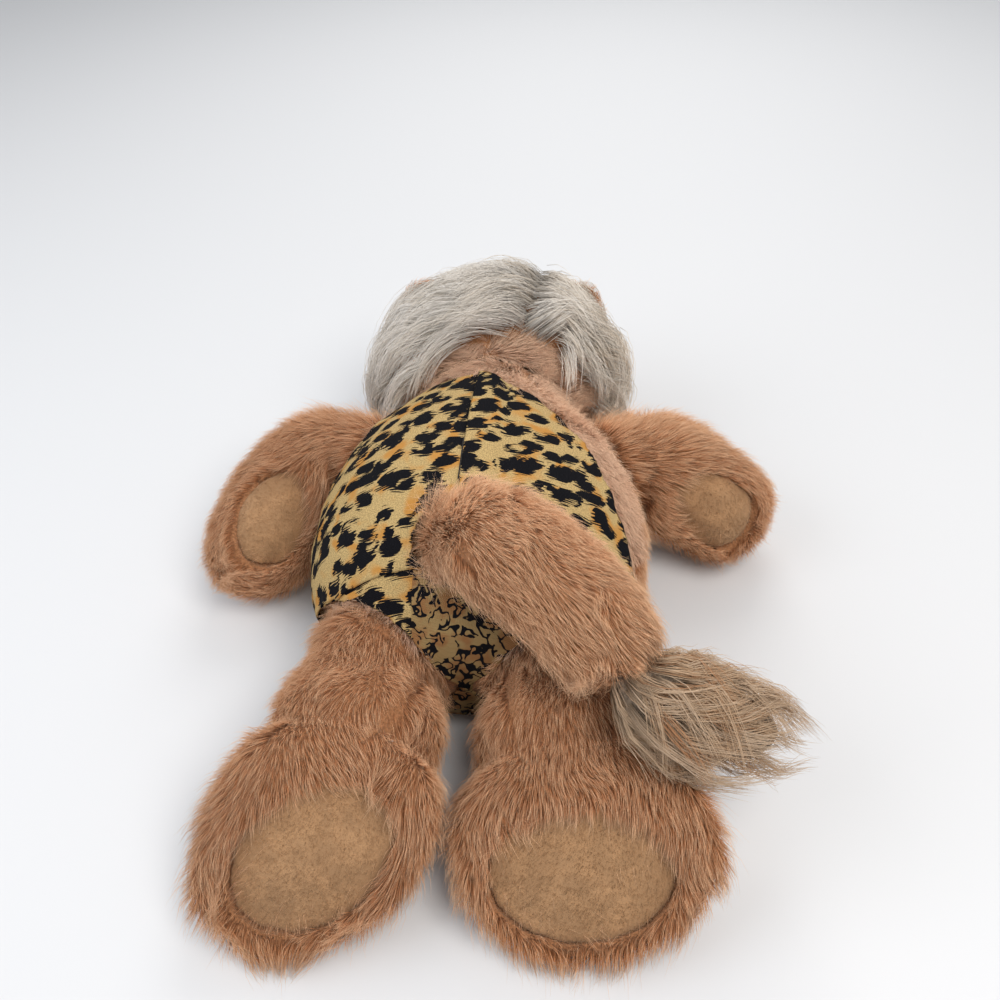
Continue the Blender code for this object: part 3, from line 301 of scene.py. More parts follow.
class LION_OT_materials(bpy.types.Operator):
    """Make the finishes that several pieces share"""

    bl_idname = "lion.materials"
    bl_label = "Finishes"

    def execute(self, context):
        tint = context.scene.lion_colours
        natural = ((0.0, tuple(tint.root)), (0.45, tuple(tint.middle)), (1.0, tuple(tint.tip)))
        hair_material("combed_fur", natural, NATURAL_TONES)
        hair_material("short_fur", shades(tint.back, 0.6, 0.95, 1.3), SHORT_TONES)
        hair_material("velour_pile", shades(tint.pad, 0.5, 0.95, 1.7), NAP_TONES, 0.8, 0.3)
        velour_material("velour_cloth", tint.pad)
        print_material("spotted_cloth", tint.print_ground)
        gusset_material("gusset_print", tint.print_ground)
        felt = "TexNoise", {"Scale": 0.9, "Detail": 5.0}, (0.3, 0.7)
        dark, pale = scaled(tint.root, 0.9), scaled(tint.middle, 0.75)
        patterned("fur_backing", 0.95, 0.2, *felt, dark, pale, 1.5 * MM)
        felt = "TexNoise", {"Scale": 0.7, "Detail": 4.0}, (0.3, 0.7)
        for kind, ground in (("mane", tint.mane), ("tuft", tint.tuft)):
            hair_material(f"{kind}_locks", shades(ground, 0.62, 0.98, 1.2, 0.25), LOCK_TONES, 0.55)
            dark, pale = scaled(ground, 0.3), scaled(ground, 0.6)
            patterned(f"{kind}_backing", 0.95, 0.1, *felt, dark, pale, 1.5 * MM)
        fluff = "TexNoise", {"Scale": 0.5, "Detail": 8.0, "Distortion": 1.5}, (0.3, 0.7)
        patterned("fibre_fill", 1.0, 0.4, *fluff, (0.66, 0.66, 0.64), (0.86, 0.86, 0.84), 2 * MM)
        hooks = "TexVoronoi", {"Scale": 1.3}, (0.1, 0.6)
        patterned("tape_weave", 0.85, 0.1, *hooks, (0.055, 0.05, 0.045), (0.02, 0.018, 0.016), 0.4 * MM)
        twist = "TexWave", {"Scale": 1.1, "Distortion": 1.0}, None
        patterned("dark_thread", 0.6, 0.1, *twist, (0.035, 0.02, 0.014), (0.10, 0.06, 0.04), 0.15 * MM)
        fine = "TexNoise", {"Scale": 1.2, "Detail": 4.0}, (0.35, 0.65)
        for name, roughness, colour in PLASTICS:
            patterned(name, roughness, 0.0, *fine, scaled(colour, 0.8), colour, 0.02 * MM)
        return {"FINISHED"}


# Shapes from the frame


def linked(name, data):
    """A new object in the scene."""
    made = bpy.data.objects.new(name, data)
    bpy.context.scene.collection.objects.link(made)
    return made


def only(obj):
    """Selects one object and makes it active."""
    bpy.ops.object.select_all(action="DESELECT")
    obj.select_set(True)
    bpy.context.view_layer.objects.active = obj


def apply(obj, kind, **settings):
    """Adds a modifier with these settings and applies it."""
    only(obj)
    bpy.ops.object.modifier_add(type=kind)
    made = obj.modifiers[-1]
    for name, value in settings.items():
        setattr(made, name, value)
    bpy.ops.object.modifier_apply(modifier=made.name)


def merged_copy(name, *nodes):
    """One new object with copies of CAD nodes, their doubled points merged."""
    copies = [linked(name, frame["nodes"][node].data.copy()) for node in nodes]
    only(copies[0])
    for copy in copies:
        copy.select_set(True)
    if len(copies) > 1:
        bpy.ops.object.join()
    made = bpy.context.view_layer.objects.active
    made.name = name
    bpy.ops.object.mode_set(mode="EDIT")
    bpy.ops.mesh.select_all(action="SELECT")
    bpy.ops.mesh.remove_doubles(threshold=0.02 * MM)
    bpy.ops.object.mode_set(mode="OBJECT")
    made.data.materials.clear()
    return made


def softened(name, nodes, voxel, passes, finish):
    """A closed, smooth piece that fills the room of some CAD nodes."""
    made = merged_copy(name, *nodes)
    apply(made, "REMESH", mode="VOXEL", voxel_size=voxel)
    apply(made, "SMOOTH", factor=0.5, iterations=passes)
    made.data.shade_smooth()
    made.data.materials.append(bpy.data.materials[finish])
    return made


def built(name, points, faces, uv, finish):
    """A new smooth object of points and faces, with its map and its finish."""
    mesh = bpy.data.meshes.new(name)
    mesh.from_pydata(points.reshape(-1, 3).tolist(), [], faces.tolist())
    mesh.uv_layers.new(name=UV_MAP).uv.foreach_set("vector", uv.astype(np.float32).ravel())
    mesh.materials.append(bpy.data.materials[finish])
    mesh.shade_smooth()
    return linked(name, mesh)


def points_of(obj):
    """All points and normals of an object, as two arrays."""
    found = np.empty((2, len(obj.data.vertices) * 3))
    obj.data.vertices.foreach_get("co", found[0])
    obj.data.vertices.foreach_get("normal", found[1])
    return found.reshape(2, -1, 3)


def move(obj, points):
    """Puts an object's points in new places."""
    obj.data.vertices.foreach_set("co", points.ravel())
    obj.data.update()


def hold_above_floor(obj, lift):
    move(obj, np.maximum(points_of(obj)[0], (-1, -1, FLOOR + lift)))


def dressed(obj, body, slot, *nodes):
    """Rides a finished piece on its body and hides the CAD nodes it stands for."""
    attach(obj, body)
    if nodes:
        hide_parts(*nodes)


def stuffed(obj, lift, fill, body, slot, *nodes):
    """Lays a stuffed piece on the floor and dresses it."""
    hold_above_floor(obj, lift)
    dressed(obj, body, slot, *nodes)
    return obj


def skin_piece(part, body, voxel=2.8 * MM, passes=6):
    """The plush of one stuffed part, sewn and filled."""
    nodes = [f"{part}_skin", f"{part}_stuffing"]
    made = softened(f"{part}_plush", nodes, voxel, passes, "fur_backing")
    return stuffed(made, 0.4 * MM, 0.8, body, "tan_plush", nodes[0])


def paint(node, finish):
    """Gives a CAD node a finish of this file."""
    for place in frame["nodes"][node].material_slots:
        place.material = bpy.data.materials[finish]


def far_from(points, place):
    """The distance of every point from a place."""
    return np.linalg.norm(points - place, axis=1)


def gaps(points, tree):
    """The distance of every point from a surface."""
    return np.array([tree.find_nearest(Vector(point))[3] for point in points])


def heights(points, tree):
    """How far points lie outside a closed surface, below zero within it."""
    found = []
    for point in points:
        place, normal, _, _ = tree.find_nearest(Vector(point))
        found.append((Vector(point) - place).dot(normal))
    return np.array(found)


def tree_of(*nodes):
    """A search tree of CAD nodes' surfaces."""
    points, faces = [], []
    for node in nodes:
        mesh = frame["nodes"][node].data
        base = len(points)
        points += [vertex.co.copy() for vertex in mesh.vertices]
        faces += [[base + corner for corner in face.vertices] for face in mesh.polygons]
    return BVHTree.FromPolygons(points, faces)


def joint_place(name):
    found = next(joint for joint in frame["record"]["behaviour"]["joints"] if joint["name"] == name)
    return np.array(found["pos_m"])


def middle_of(node):
    low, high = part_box(node)
    return (np.array(low) + np.array(high)) / 2


def curve_point(route, share):
    """A point on the curve that two bends pull between a start and an end."""
    first, second, third, last = (np.array(place) for place in route)
    rest = 1 - share
    return rest**3 * first + 3 * rest**2 * share * second + 3 * rest * share**2 * third + share**3 * last


def curve_heading(route, share):
    return unit(curve_point(route, share + 0.01) - curve_point(route, share - 0.01))


# Fur

CLUMP_REACH = 3.5 * MM
NEIGHBOUR_ROOM = 2.2 * MM
NAP = {"lift": 0.6, "under": 50, "clump": 0, "finish": "velour_pile", "slot": "pad_velour"}


def unit(vectors):
    return vectors / np.maximum(np.linalg.norm(vectors, axis=-1, keepdims=True), 1e-9)


def waves(points, seed, size):
    """A smooth random vector at every point, which changes over about a size."""
    rng = np.random.default_rng(seed)
    total = np.zeros_like(points)
    for _ in range(5):
        way = unit(rng.normal(size=3)) * 2 * math.pi / (size * rng.uniform(0.7, 1.8))
        total += rng.normal(size=3) * np.sin(points @ way + rng.uniform(0, 6.3))[:, None]
    return total / 2


def scattered(obj, rng, density):
    """Points and normals spread over an object's surface, fewer of them underneath."""
    mesh = obj.data
    mesh.calc_loop_triangles()
    corner = np.empty(len(mesh.loop_triangles) * 3, np.int32)
    mesh.loop_triangles.foreach_get("vertices", corner)
    corner = corner.reshape(-1, 3)
    points, normals = points_of(obj)
    a, b, c = (points[corner[:, side]] for side in range(3))
    area = np.linalg.norm(np.cross(b - a, c - a), axis=1) / 2
    down = -normals[corner].mean(1)[:, 2]
    weight = area * np.interp(down, (0.25, 0.65), (1.0, 0.12))
    amount = int(weight.sum() / MM**2 * density)
    pick = rng.choice(len(area), amount, p=weight / weight.sum())
    first, second = rng.random((2, amount, 1))
    turn = first + second > 1
    first, second = np.where(turn, 1 - first, first), np.where(turn, 1 - second, second)
    shares = (1 - first - second, first, second)
    found = sum(points[corner[pick, side]] * shares[side] for side in range(3))
    facing = sum(normals[corner[pick, side]] * shares[side] for side in range(3))
    return found, unit(facing)


def strands(name, paths, width, tones, finish):
    """Closed three-sided strands that taper along their paths, each with one tone of its finish."""
    amount, steps, _ = paths.shape
    rings = steps - 1
    ways = unit(np.diff(paths, axis=1))
    side = unit(np.cross(ways, unit(ways.mean(1, keepdims=True) + (0.3, 0.2, 0.9))))
    up = np.cross(ways, side)
    taper = np.linspace(1.0, 0.45, rings)[None, :, None, None]
    turn = (np.arange(3) * 2 * math.pi / 3)[None, None, :, None]
    round_ring = side[:, :, None] * np.cos(turn) + up[:, :, None] * np.sin(turn)
    ring = paths[:, :-1, None] + round_ring * taper * width
    points = np.concatenate([ring.reshape(amount, -1, 3), paths[:, -1:]], axis=1)
    tip = rings * 3
    faces = [(0, 2, 1)]
    for low in range(0, tip - 3, 3):
        for here in range(3):
            beside = low + (here + 1) % 3
            faces.append((low + here, beside, beside + 3))
            faces.append((low + here, beside + 3, low + here + 3))
    for here in range(3):
        faces.append((tip - 3 + here, tip - 3 + (here + 1) % 3, tip))
    faces = np.array(faces)
    map_u = np.append(np.repeat(np.linspace(0.02, 0.85, rings), 3), 0.98)
    map_u[1] += 0.03
    map_v = np.append(np.tile([-0.004, 0.0, 0.004], rings), 0.0)
    uv = np.empty((amount, faces.size, 2))
    uv[..., 0] = map_u[faces.ravel()]
    uv[..., 1] = np.clip(tones, 0.01, 0.99)[:, None] + map_v[faces.ravel()]
    faces = faces + np.arange(amount)[:, None, None] * (tip + 1)
    return built(name, points, faces.reshape(-1, 3), uv, finish)


def strand_pieces(name, paths, width, tones, finish, body, slot):
    """Strands above the floor, as pieces that each stay small enough to keep every strand."""
    most = MOST_STRAND_FACES // (6 * (paths.shape[1] - 2) + 4)
    for start in range(0, len(paths), most):
        part = slice(start, start + most)
        label = f"{name}_{start // most + 1}"
        dressed(strands(label, paths[part], width, tones[part], finish), body, slot)


def pulled_to_clumps(roots, tips, rng, share, pull):
    """Tips drawn together over every clump's middle strand."""
    amount = max(1, int(len(roots) * share))
    chosen = rng.choice(len(roots), amount, replace=False)
    tree = KDTree(amount)
    for index, strand in enumerate(chosen):
        tree.insert(roots[strand], index)
    tree.balance()
    near = np.array([chosen[tree.find(root)[1]] for root in roots])
    gather = tips[near] - tips
    far = np.linalg.norm(gather, axis=1, keepdims=True)
    gather *= np.minimum(1.0, CLUMP_REACH / np.maximum(far, 1e-9))
    return roots + (tips - roots) + gather * pull, near


def combed(
    name, base, body, flow, seed, keep=None, pile=None, lift=0.42, density=None, finish="combed_fur",
    slot="tan_plush", tone=0.55, under=None, clump=0.22, loose=0.07,
):
    """Short fur on a base, combed along a flow: straight undercoat and longer, bent strands.

    The pile is one length, or a function that gives one for every root.
    """
    sizes = bpy.context.scene.lion_fur
    pile = pile or sizes.pile
    under = sizes.under if under is None else under
    rng = np.random.default_rng(seed)
    roots, ups = scattered(base, rng, (density or sizes.density) * (1 + under))
    chosen = heights(roots, tree_of(*neighbours(body))) > NEIGHBOUR_ROOM
    if keep is not None:
        chosen &= keep(roots)
    roots, ups = roots[chosen], ups[chosen]
    way = flow(roots)
    way = unit(way + waves(roots, seed + 1, 42 * MM) * 0.36 + waves(roots, seed + 2, 14 * MM) * 0.12)
    way = unit(way - ups * (way * ups).sum(1, keepdims=True))
    if callable(pile):
        pile = pile(roots)[:, None]
    length = pile * (rng.uniform(0.75, 1.15, (len(roots), 1)) + waves(roots, seed + 5, 9 * MM)[:, :1] * 0.04)
    stand = np.clip(lift + waves(roots, seed + 3, 26 * MM)[:, :1] * 0.09, 0.12, 0.95)
    outer = rng.random(len(roots)) < 1 / (1 + under)
    stray = rng.normal(size=roots.shape) * np.where(outer, loose * 1.7, loose)[:, None]
    length *= np.where(outer, 1.14, 1.0)[:, None]
    tips = roots + length * (ups * stand + way * np.sqrt(1 - stand**2) + stray)
    tips, near = pulled_to_clumps(roots, tips, rng, 0.06, clump)
    broad = waves(roots, seed + 4, 60 * MM)[:, 0] * 0.07
    tones = tone + broad + rng.normal(size=len(roots)) * 0.15 + rng.normal(size=len(roots))[near] * 0.06
    starts = roots - ups * 0.6 * MM
    bends = roots * 0.5 + tips * 0.5 + ups * length * 0.15
    short_tips = roots * 0.12 + tips * 0.88 + ups * length * 0.03
    for layer, steps, picked, thick in (
        ("outer", (starts, bends, tips), outer, 1.0), ("under", (starts, short_tips), ~outer, 1.25),
    ):
        paths = np.stack(steps, axis=1)[picked]
        paths[:, :, 2] = np.maximum(paths[:, :, 2], FLOOR + 0.3 * MM)
        strand_pieces(f"{name}_{layer}", paths, sizes.thickness * thick, tones[picked], finish, body, slot)


def along_route(*points):
    """A flow along a route: each point takes the heading of its nearest stretch."""
    route = np.array(points)
    middles = (route[1:] + route[:-1]) / 2
    heads = unit(np.diff(route, axis=0))

    def flow(roots):
        share = 1 / np.linalg.norm(roots[:, None] - middles[None], axis=2) ** 4
        return unit((heads[None] * (share / share.sum(1, keepdims=True))[..., None]).sum(1))

    return flow


def neighbours(body):
    """The soft pieces of the other bodies, against which fur would be hidden."""
    return [
        node
        for other, nodes in frame["record"]["behaviour"]["bodies"].items()
        for node in nodes
        if other != body and node.endswith(("_skin", "neck_stuffing"))
    ]


# Body, neck and limbs

FLANK_HEIGHT = 64 * MM
BACK_STRAP_ROOM, NECK_STRAP_ROOM, NAPE_STRAP_ROOM, MANE_STRAP_ROOM = 6 * MM, 9 * MM, 13 * MM, 12 * MM
LIMBS = (("arm", "shoulder", "paw_pad", 35), ("leg", "hip", "sole_pad", 34))
LIMB_PILES = {"arm": ((28 * MM, 62 * MM), (0.0165, 0.0108)), "leg": ((50 * MM, 95 * MM), (0.0108, 0.0135))}
LIMB_ROOT, SHOULDER_REACH, ANKLE_SHARE, ANKLE_SPREAD = 15 * MM, 52 * MM, 0.50, 0.11


class LION_OT_fillings(bpy.types.Operator):
    """Fill the body, the head and the limbs"""

    bl_idname = "lion.fillings"
    bl_label = "Fillings"

    def execute(self, context):
        for body, nodes in frame["record"]["behaviour"]["bodies"].items():
            for node in nodes:
                if node.endswith("_stuffing") and node != "neck_stuffing":
                    made = softened(node.replace("stuffing", "fill"), [node], 4.5 * MM, 2, "fibre_fill")
                    apply(
                        made, "SHRINKWRAP", target=frame["nodes"][node], wrap_method="NEAREST_SURFACEPOINT",
                        wrap_mode="INSIDE", offset=2 * MM,
                    )
                    stuffed(made, 3 * MM, 0.8, body, "fibre_stuffing", node)
        return {"FINISHED"}


class LION_OT_body(bpy.types.Operator):
    """Sew the body's plush and comb its fur"""

    bl_idname = "lion.body"
    bl_label = "Body"

    def execute(self, context):
        base = skin_piece("body", "torso")
        strap = tree_of("leotard_strap")

        def bare(roots):
            away = gaps(roots, strap) > BACK_STRAP_ROOM
            return (cloth_reach(roots) < 2 * MM) & (roots[:, 2] > 2 * MM) & away

        def flank(roots):
            return roots[:, 2] + waves(roots, 15, 20 * MM)[:, 0] * 3 * MM < FLANK_HEIGHT

        def flow(roots):
            return unit(np.c_[roots[:, 0] * 6, np.full(len(roots), -1.0), roots[:, 2] * -2])

        def pile(roots):
            return np.interp(roots[:, 1], (0.03, 0.075), (0.0090, 0.0115))

        combed(
            "back_fur", base, "torso", flow, 11, lambda roots: bare(roots) & ~flank(roots), pile, 0.4, 0.56,
            "short_fur", tone=0.62,
        )
        combed(
            "flank_fur", base, "torso", flow, 13, lambda roots: bare(roots) & flank(roots), pile,
            density=0.5,
        )
        neck = softened("neck_plush", ["neck_stuffing"], 3 * MM, 3, "fur_backing")
        stuffed(neck, 3 * MM, 0.8, "neck", "tan_plush", "neck_stuffing")

        def showing(roots):
            up = (roots[:, 2] > 58 * MM) & (roots[:, 1] < 0.112)
            return up & (gaps(roots, strap) > NECK_STRAP_ROOM)

        combed("neck_fur", neck, "neck", flow, 12, showing, 0.014, 0.35, 0.8, "short_fur", tone=0.7)
        return {"FINISHED"}


class LION_OT_limbs(bpy.types.Operator):
    """Sew the arms and legs, comb their fur and set in their pads"""

    bl_idname = "lion.limbs"
    bl_label = "Arms and legs"

    def execute(self, context):
        for turn, side in enumerate(SIDES):
            for kind, joint, pad, seed in LIMBS:
                limb = f"{side}_{kind}"
                pivot = joint_place(f"{side}_{joint}")
                end = middle_of(f"{limb}_{pad}")
                base = skin_piece(limb, limb)
                pad_tree = tree_of(f"{limb}_{pad}")
                if kind == "arm":
                    bend = middle_of(f"{limb}_skin")
                    self.shoulder(base, pivot)
                else:
                    bend = (pivot + end) / 2
                    self.ankle(base, pivot, end)
                flow = along_route(pivot, bend, end, end + (end - bend) * 0.5)
                self.bedded(base, pad_tree)

                def keep(roots):
                    return (gaps(roots, pad_tree) >= 2.4 * MM) & (far_from(roots, pivot) >= LIMB_ROOT)

                def pile(roots):
                    return np.interp(far_from(roots, pivot), *LIMB_PILES[kind])

                combed(f"{limb}_fur", base, limb, flow, seed + turn * 10, keep, pile)
                self.pad(f"{limb}_{pad}", limb, 71 + turn)
        return {"FINISHED"}

    def bedded(self, base, pad_tree):
        """Lowers the plush under its pad."""
        points, normals = points_of(base)
        near = np.clip(1 - gaps(points, pad_tree) / (5 * MM), 0, 1)
        move(base, points - normals * near[:, None] * 2.6 * MM)

    def shoulder(self, base, pivot):
        """Fills the top of the arm where it leaves the body."""
        points, normals = points_of(base)
        near = np.clip(1.3 - far_from(points, pivot) / SHOULDER_REACH, 0, 1)
        move(base, points + normals * (near * np.clip(normals[:, 2], 0, 1))[:, None] * 5 * MM)

    def ankle(self, base, pivot, end):
        """Draws the leg in where the foot begins."""
        points, normals = points_of(base)
        along = end - pivot
        share = (points - pivot) @ along / (along @ along)
        near = np.exp(-(((share - ANKLE_SHARE) / ANKLE_SPREAD) ** 2))
        waist = near * np.clip(normals[:, 2] + 0.6, 0, 1)
        move(base, points - normals * waist[:, None] * 7 * MM)

    def pad(self, node, body, seed):
        """Swells a velour pad and gives it its nap."""
        made = softened(node.replace("pad", "velour"), [node], 1.3 * MM, 5, "velour_cloth")
        points, normals = points_of(made)
        half = np.ptp(np.array(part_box(node)), axis=0).max() / 2
        off = far_from(points, middle_of(node)) / half
        move(made, points + normals * (0.4 + 3.6 * np.clip(1 - off**2, 0, 1))[:, None] * MM)
        stuffed(made, 0.3 * MM, 0.7, body, "pad_velour", node)
        combed(
            f"{node}_pile", made, body, lambda roots: np.tile((0.1, -0.35, -0.9), (len(roots), 1)), seed,
            pile=0.0019, density=0.030, loose=0.26, **NAP,
        )


# Tail; its routes are in the part's source as well

TAIL_BENDS = ((0.002, -0.056, 0.136), (0.050, -0.082, 0.124))
TAIL_TIP = (0.075, -0.112, 0.097)
TUFT_BENDS = ((0.094, -0.128, 0.088), (0.122, -0.114, 0.070))
TUFT_END = (0.152, -0.110, 0.056)
TUFT_RADIUS = 0.024
TUFT_LOCKS, TUFT_STRANDS, TUFT_STEPS = 165, 22, 7
TUFT_PLACES = (-0.10, 0.1, 0.35, 0.75, 1.0, 1.08)
TUFT_ROUND_SHARES = (0.50, 0.8, 0.98, 0.85, 0.42, 0.3)


class LION_OT_tail(bpy.types.Operator):
    """Sew the tail, comb its fur and hang its tuft"""

    bl_idname = "lion.tail"
    bl_label = "Tail"

    def execute(self, context):
        root = joint_place("tail_lift")
        route = (root, *TAIL_BENDS, TAIL_TIP)
        base = skin_piece("tail", "tail")
        self.narrowed(base, root)
        self.narrowed(bpy.data.objects["tail_fill"], root)
        along = along_route(*[curve_point(route, share) for share in np.linspace(0, 1.1, 7)])
        body_tree = tree_of("body_skin")
        heading = curve_heading(route, 0.1)

        def outward(off):
            return unit(off - heading * (off @ heading)[:, None])

        def keep(roots):
            return (heights(roots, body_tree) > -MM) | (far_from(roots, root) > 26 * MM)

        def flow(roots):
            near = np.clip(1.25 - far_from(roots, root) / (34 * MM), 0, 1)[:, None]
            return along(roots) * (1 - near) + outward(roots - root) * near * 1.3

        def pile(roots):
            return np.interp(far_from(roots, root), (20 * MM, 45 * MM), (0.0150, 0.0118))

        combed("tail_fur", base, "tail", flow, 51, keep, pile, 0.36, 0.62)

        def ring(roots):
            off = roots - root
            high = heights(roots, body_tree)
            return (high > 0.5 * MM) & (high < 11 * MM) & (off @ heading < 22 * MM) & (off[:, 0] < 6 * MM)

        def fan(roots):
            return unit(outward(roots - root) + (-0.35, 0, 0.25))

        combed(
            "tail_fan", base, "tail", fan, 53, ring, 0.0175, 0.55, 0.6, tone=1.2, under=0.6,
            clump=0.35, loose=0.09,
        )
        self.tuft()
        return {"FINISHED"}

    def narrowed(self, obj, root):
        """Draws the tail in where it leaves the body, most of all on its left."""
        points, _ = points_of(obj)
        off = points - root
        far = np.linalg.norm(off, axis=1)
        points = points - off * np.interp(far, (0.014, 0.042), (0.12, 0.04))[:, None]
        left = np.clip(root[0] + 0.024 - points[:, 0], 0, None)
        points[:, 0] += left * np.interp(far, (0.034, 0.052), (0.20, 0.0))
        move(obj, points)

    def tuft(self):
        """A slim core along the tuft's route, and its locks."""
        route = (TAIL_TIP, *TUFT_BENDS, TUFT_END)
        bpy.ops.object.select_all(action="DESELECT")
        bpy.ops.mesh.primitive_uv_sphere_add(segments=28, ring_count=20, radius=1)
        core = bpy.context.object
        core.name = "tuft_core"
        for point in core.data.vertices:
            place = 0.35 - 0.47 * point.co.z
            heading = curve_heading(route, place)
            side = unit(np.cross(heading, (0, 0, 1.0)))
            off = (side * point.co.x + np.cross(side, heading) * point.co.y) * TUFT_RADIUS * 0.70
            point.co = Vector(curve_point(route, place) + off)
        core.data.shade_smooth()
        core.data.materials.append(bpy.data.materials["tuft_backing"])
        dressed(core, "tail", "mane_plush", "tail_tuft")
        rng = np.random.default_rng(61)
        each, strand = (TUFT_LOCKS, 1, 1), (TUFT_LOCKS, TUFT_STRANDS, 1)
        begin = rng.uniform(-0.10, 0.62, each) * np.where(rng.random(each) < 0.42, 0.3, 1.0)
        reach = rng.uniform(0.30, 0.52, each) * rng.uniform(0.8, 1.0, strand)
        shares = np.linspace(0, 1, TUFT_STEPS)
        place = np.minimum(begin + reach * shares, TUFT_PLACES[-1])
        around = rng.uniform(-math.pi, math.pi, each)
        swirl = rng.normal(size=each) * 0.75
        turn = (around + swirl * shares**1.5 + rng.normal(size=strand) * 0.09)[..., None]
        deep = rng.uniform(0.70, 1.16, each) + rng.normal(size=strand) * 0.05
        round_share = np.interp(place, TUFT_PLACES, TUFT_ROUND_SHARES)
        radius = TUFT_RADIUS * round_share * (deep * np.minimum(1, 0.72 + shares * 0.9))
        heading = curve_heading(route, place[..., None])
        side = unit(np.cross(heading, (0, 0, 1.0)))
        up = np.cross(side, heading)
        middle = curve_point(route, place[..., None])
        paths = middle + radius[..., None] * (side * np.cos(turn) + up * np.sin(turn))
        wave = np.sin(shares * 7 + rng.uniform(0, 6.3, each)) * shares
        paths += side * wave[..., None] * 1.3 * MM
        paths += rng.normal(size=(*strand, 3)) * (shares[:, None] ** 1.6) * 2.3 * MM
        stray = (rng.random(strand) < 0.03) * shares**2
        paths += (heading * 0.6 - (0, 0, 0.6)) * stray[..., None] * 9 * MM
        paths[..., 2] -= shares**2 * 3 * MM
        paths[..., 2] = np.maximum(paths[..., 2], FLOOR + MM)
        lock_tone = rng.normal(size=(TUFT_LOCKS, 1)) * 0.13
        tones = 0.5 + lock_tone * 2 + rng.normal(size=(TUFT_LOCKS, TUFT_STRANDS)) * 0.16
        paths = paths.reshape(-1, TUFT_STEPS, 3)
        strand_pieces("tuft_hair", paths, 0.17 * MM, tones.ravel(), "tuft_locks", "tail", "mane_plush")


# Head; its egg shape is in the part's source as well

HEAD_MIDDLE = np.array((0.0, 0.133, 0.060))
HEAD_TILT = math.radians(35)
HEAD_AXES = np.array((
    (1.0, 0.0, 0.0),
    (0.0, math.sin(HEAD_TILT), math.cos(HEAD_TILT)),
    (0.0, math.cos(HEAD_TILT), -math.sin(HEAD_TILT)),
))
HEAD_HALF_SIZES = (0.066, 0.057, 0.052)
MANE_THICK, MANE_FRONT, MANE_REAR, MANE_LOW = 0.013, 0.020, 0.110, 0.036
MANE_HALF_SIZES = np.array(HEAD_HALF_SIZES) + MANE_THICK
MANE_STEPS, MANE_STRANDS = 6, 24
PARTING_X, PARTING_HALF = 0.016, 0.016
EYE_ROOM, NECK_ROOM, EAR_REACH = 9 * MM, 40 * MM, 24 * MM


class LION_OT_head(bpy.types.Operator):
    """Sew the head and the muzzle and comb their fur"""

    bl_idname = "lion.head"
    bl_label = "Head"

    def execute(self, context):
        base = skin_piece("head", "head", 2.4 * MM, 4)
        muzzle = softened("muzzle_velour", ["muzzle_skin"], 1.4 * MM, 4, "velour_cloth")
        stuffed(muzzle, 0.3 * MM, 0.8, "head", "pad_velour", "muzzle_skin")
        muzzle_tree, mane_tree, strap = tree_of("muzzle_skin"), tree_of("mane"), tree_of("leotard_strap")
        muzzle_middle = middle_of("muzzle_skin")

        def keep(roots):
            clear = (gaps(roots, muzzle_tree) > MM) & (gaps(roots, mane_tree) > 0.5 * MM)
            for side in SIDES:
                clear &= far_from(roots, middle_of(f"{side}_eye")) > EYE_ROOM
            return clear & (gaps(roots, strap) > NAPE_STRAP_ROOM)

        def behind(roots):
            return (roots[:, 1] < HEAD_MIDDLE[1]) & (roots[:, 2] > 40 * MM)

        def flow(roots):
            return roots - muzzle_middle

        combed(
            "face_fur", base, "head", flow, 81, lambda roots: keep(roots) & ~behind(roots), 0.006,
            density=0.3,
        )
        combed(
            "nape_fur", base, "head", flow, 83, lambda roots: keep(roots) & behind(roots), 0.013, 0.3, 0.7,
            "short_fur", tone=0.7,
        )
        combed("muzzle_pile", muzzle, "head", flow, 82, pile=0.0020, density=0.02, loose=0.3, **NAP)
        for node in ("left_eye", "right_eye", "nose"):
            paint(node, "nose_plastic" if node == "nose" else "eye_plastic")
            paint(node + "_washer", "washer_finish")
        paint("mouth_stitch", "dark_thread")
        return {"FINISHED"}


class LION_OT_ears(bpy.types.Operator):
    """Sew the ears"""

    bl_idname = "lion.ears"
    bl_label = "Ears"

    def execute(self, context):
        for seed, side in enumerate(SIDES, 91):
            body = f"{side}_ear"
            ear = softened(f"{body}_plush", [body], 1.2 * MM, 5, "fur_backing")
            stuffed(ear, 0, 0.3, body, "tan_plush", body)
            lining = softened(f"{body}_velour", [f"{body}_lining"], 0.5 * MM, 3, "velour_cloth")
            dressed(lining, body, "pad_velour", f"{body}_lining")
            lining_tree, middle = tree_of(f"{body}_lining"), middle_of(body)
            combed(
                f"{body}_fur", ear, body, lambda roots: roots - middle, seed,
                lambda roots: gaps(roots, lining_tree) > 1.2 * MM, 0.006, 0.4,
            )
        return {"FINISHED"}


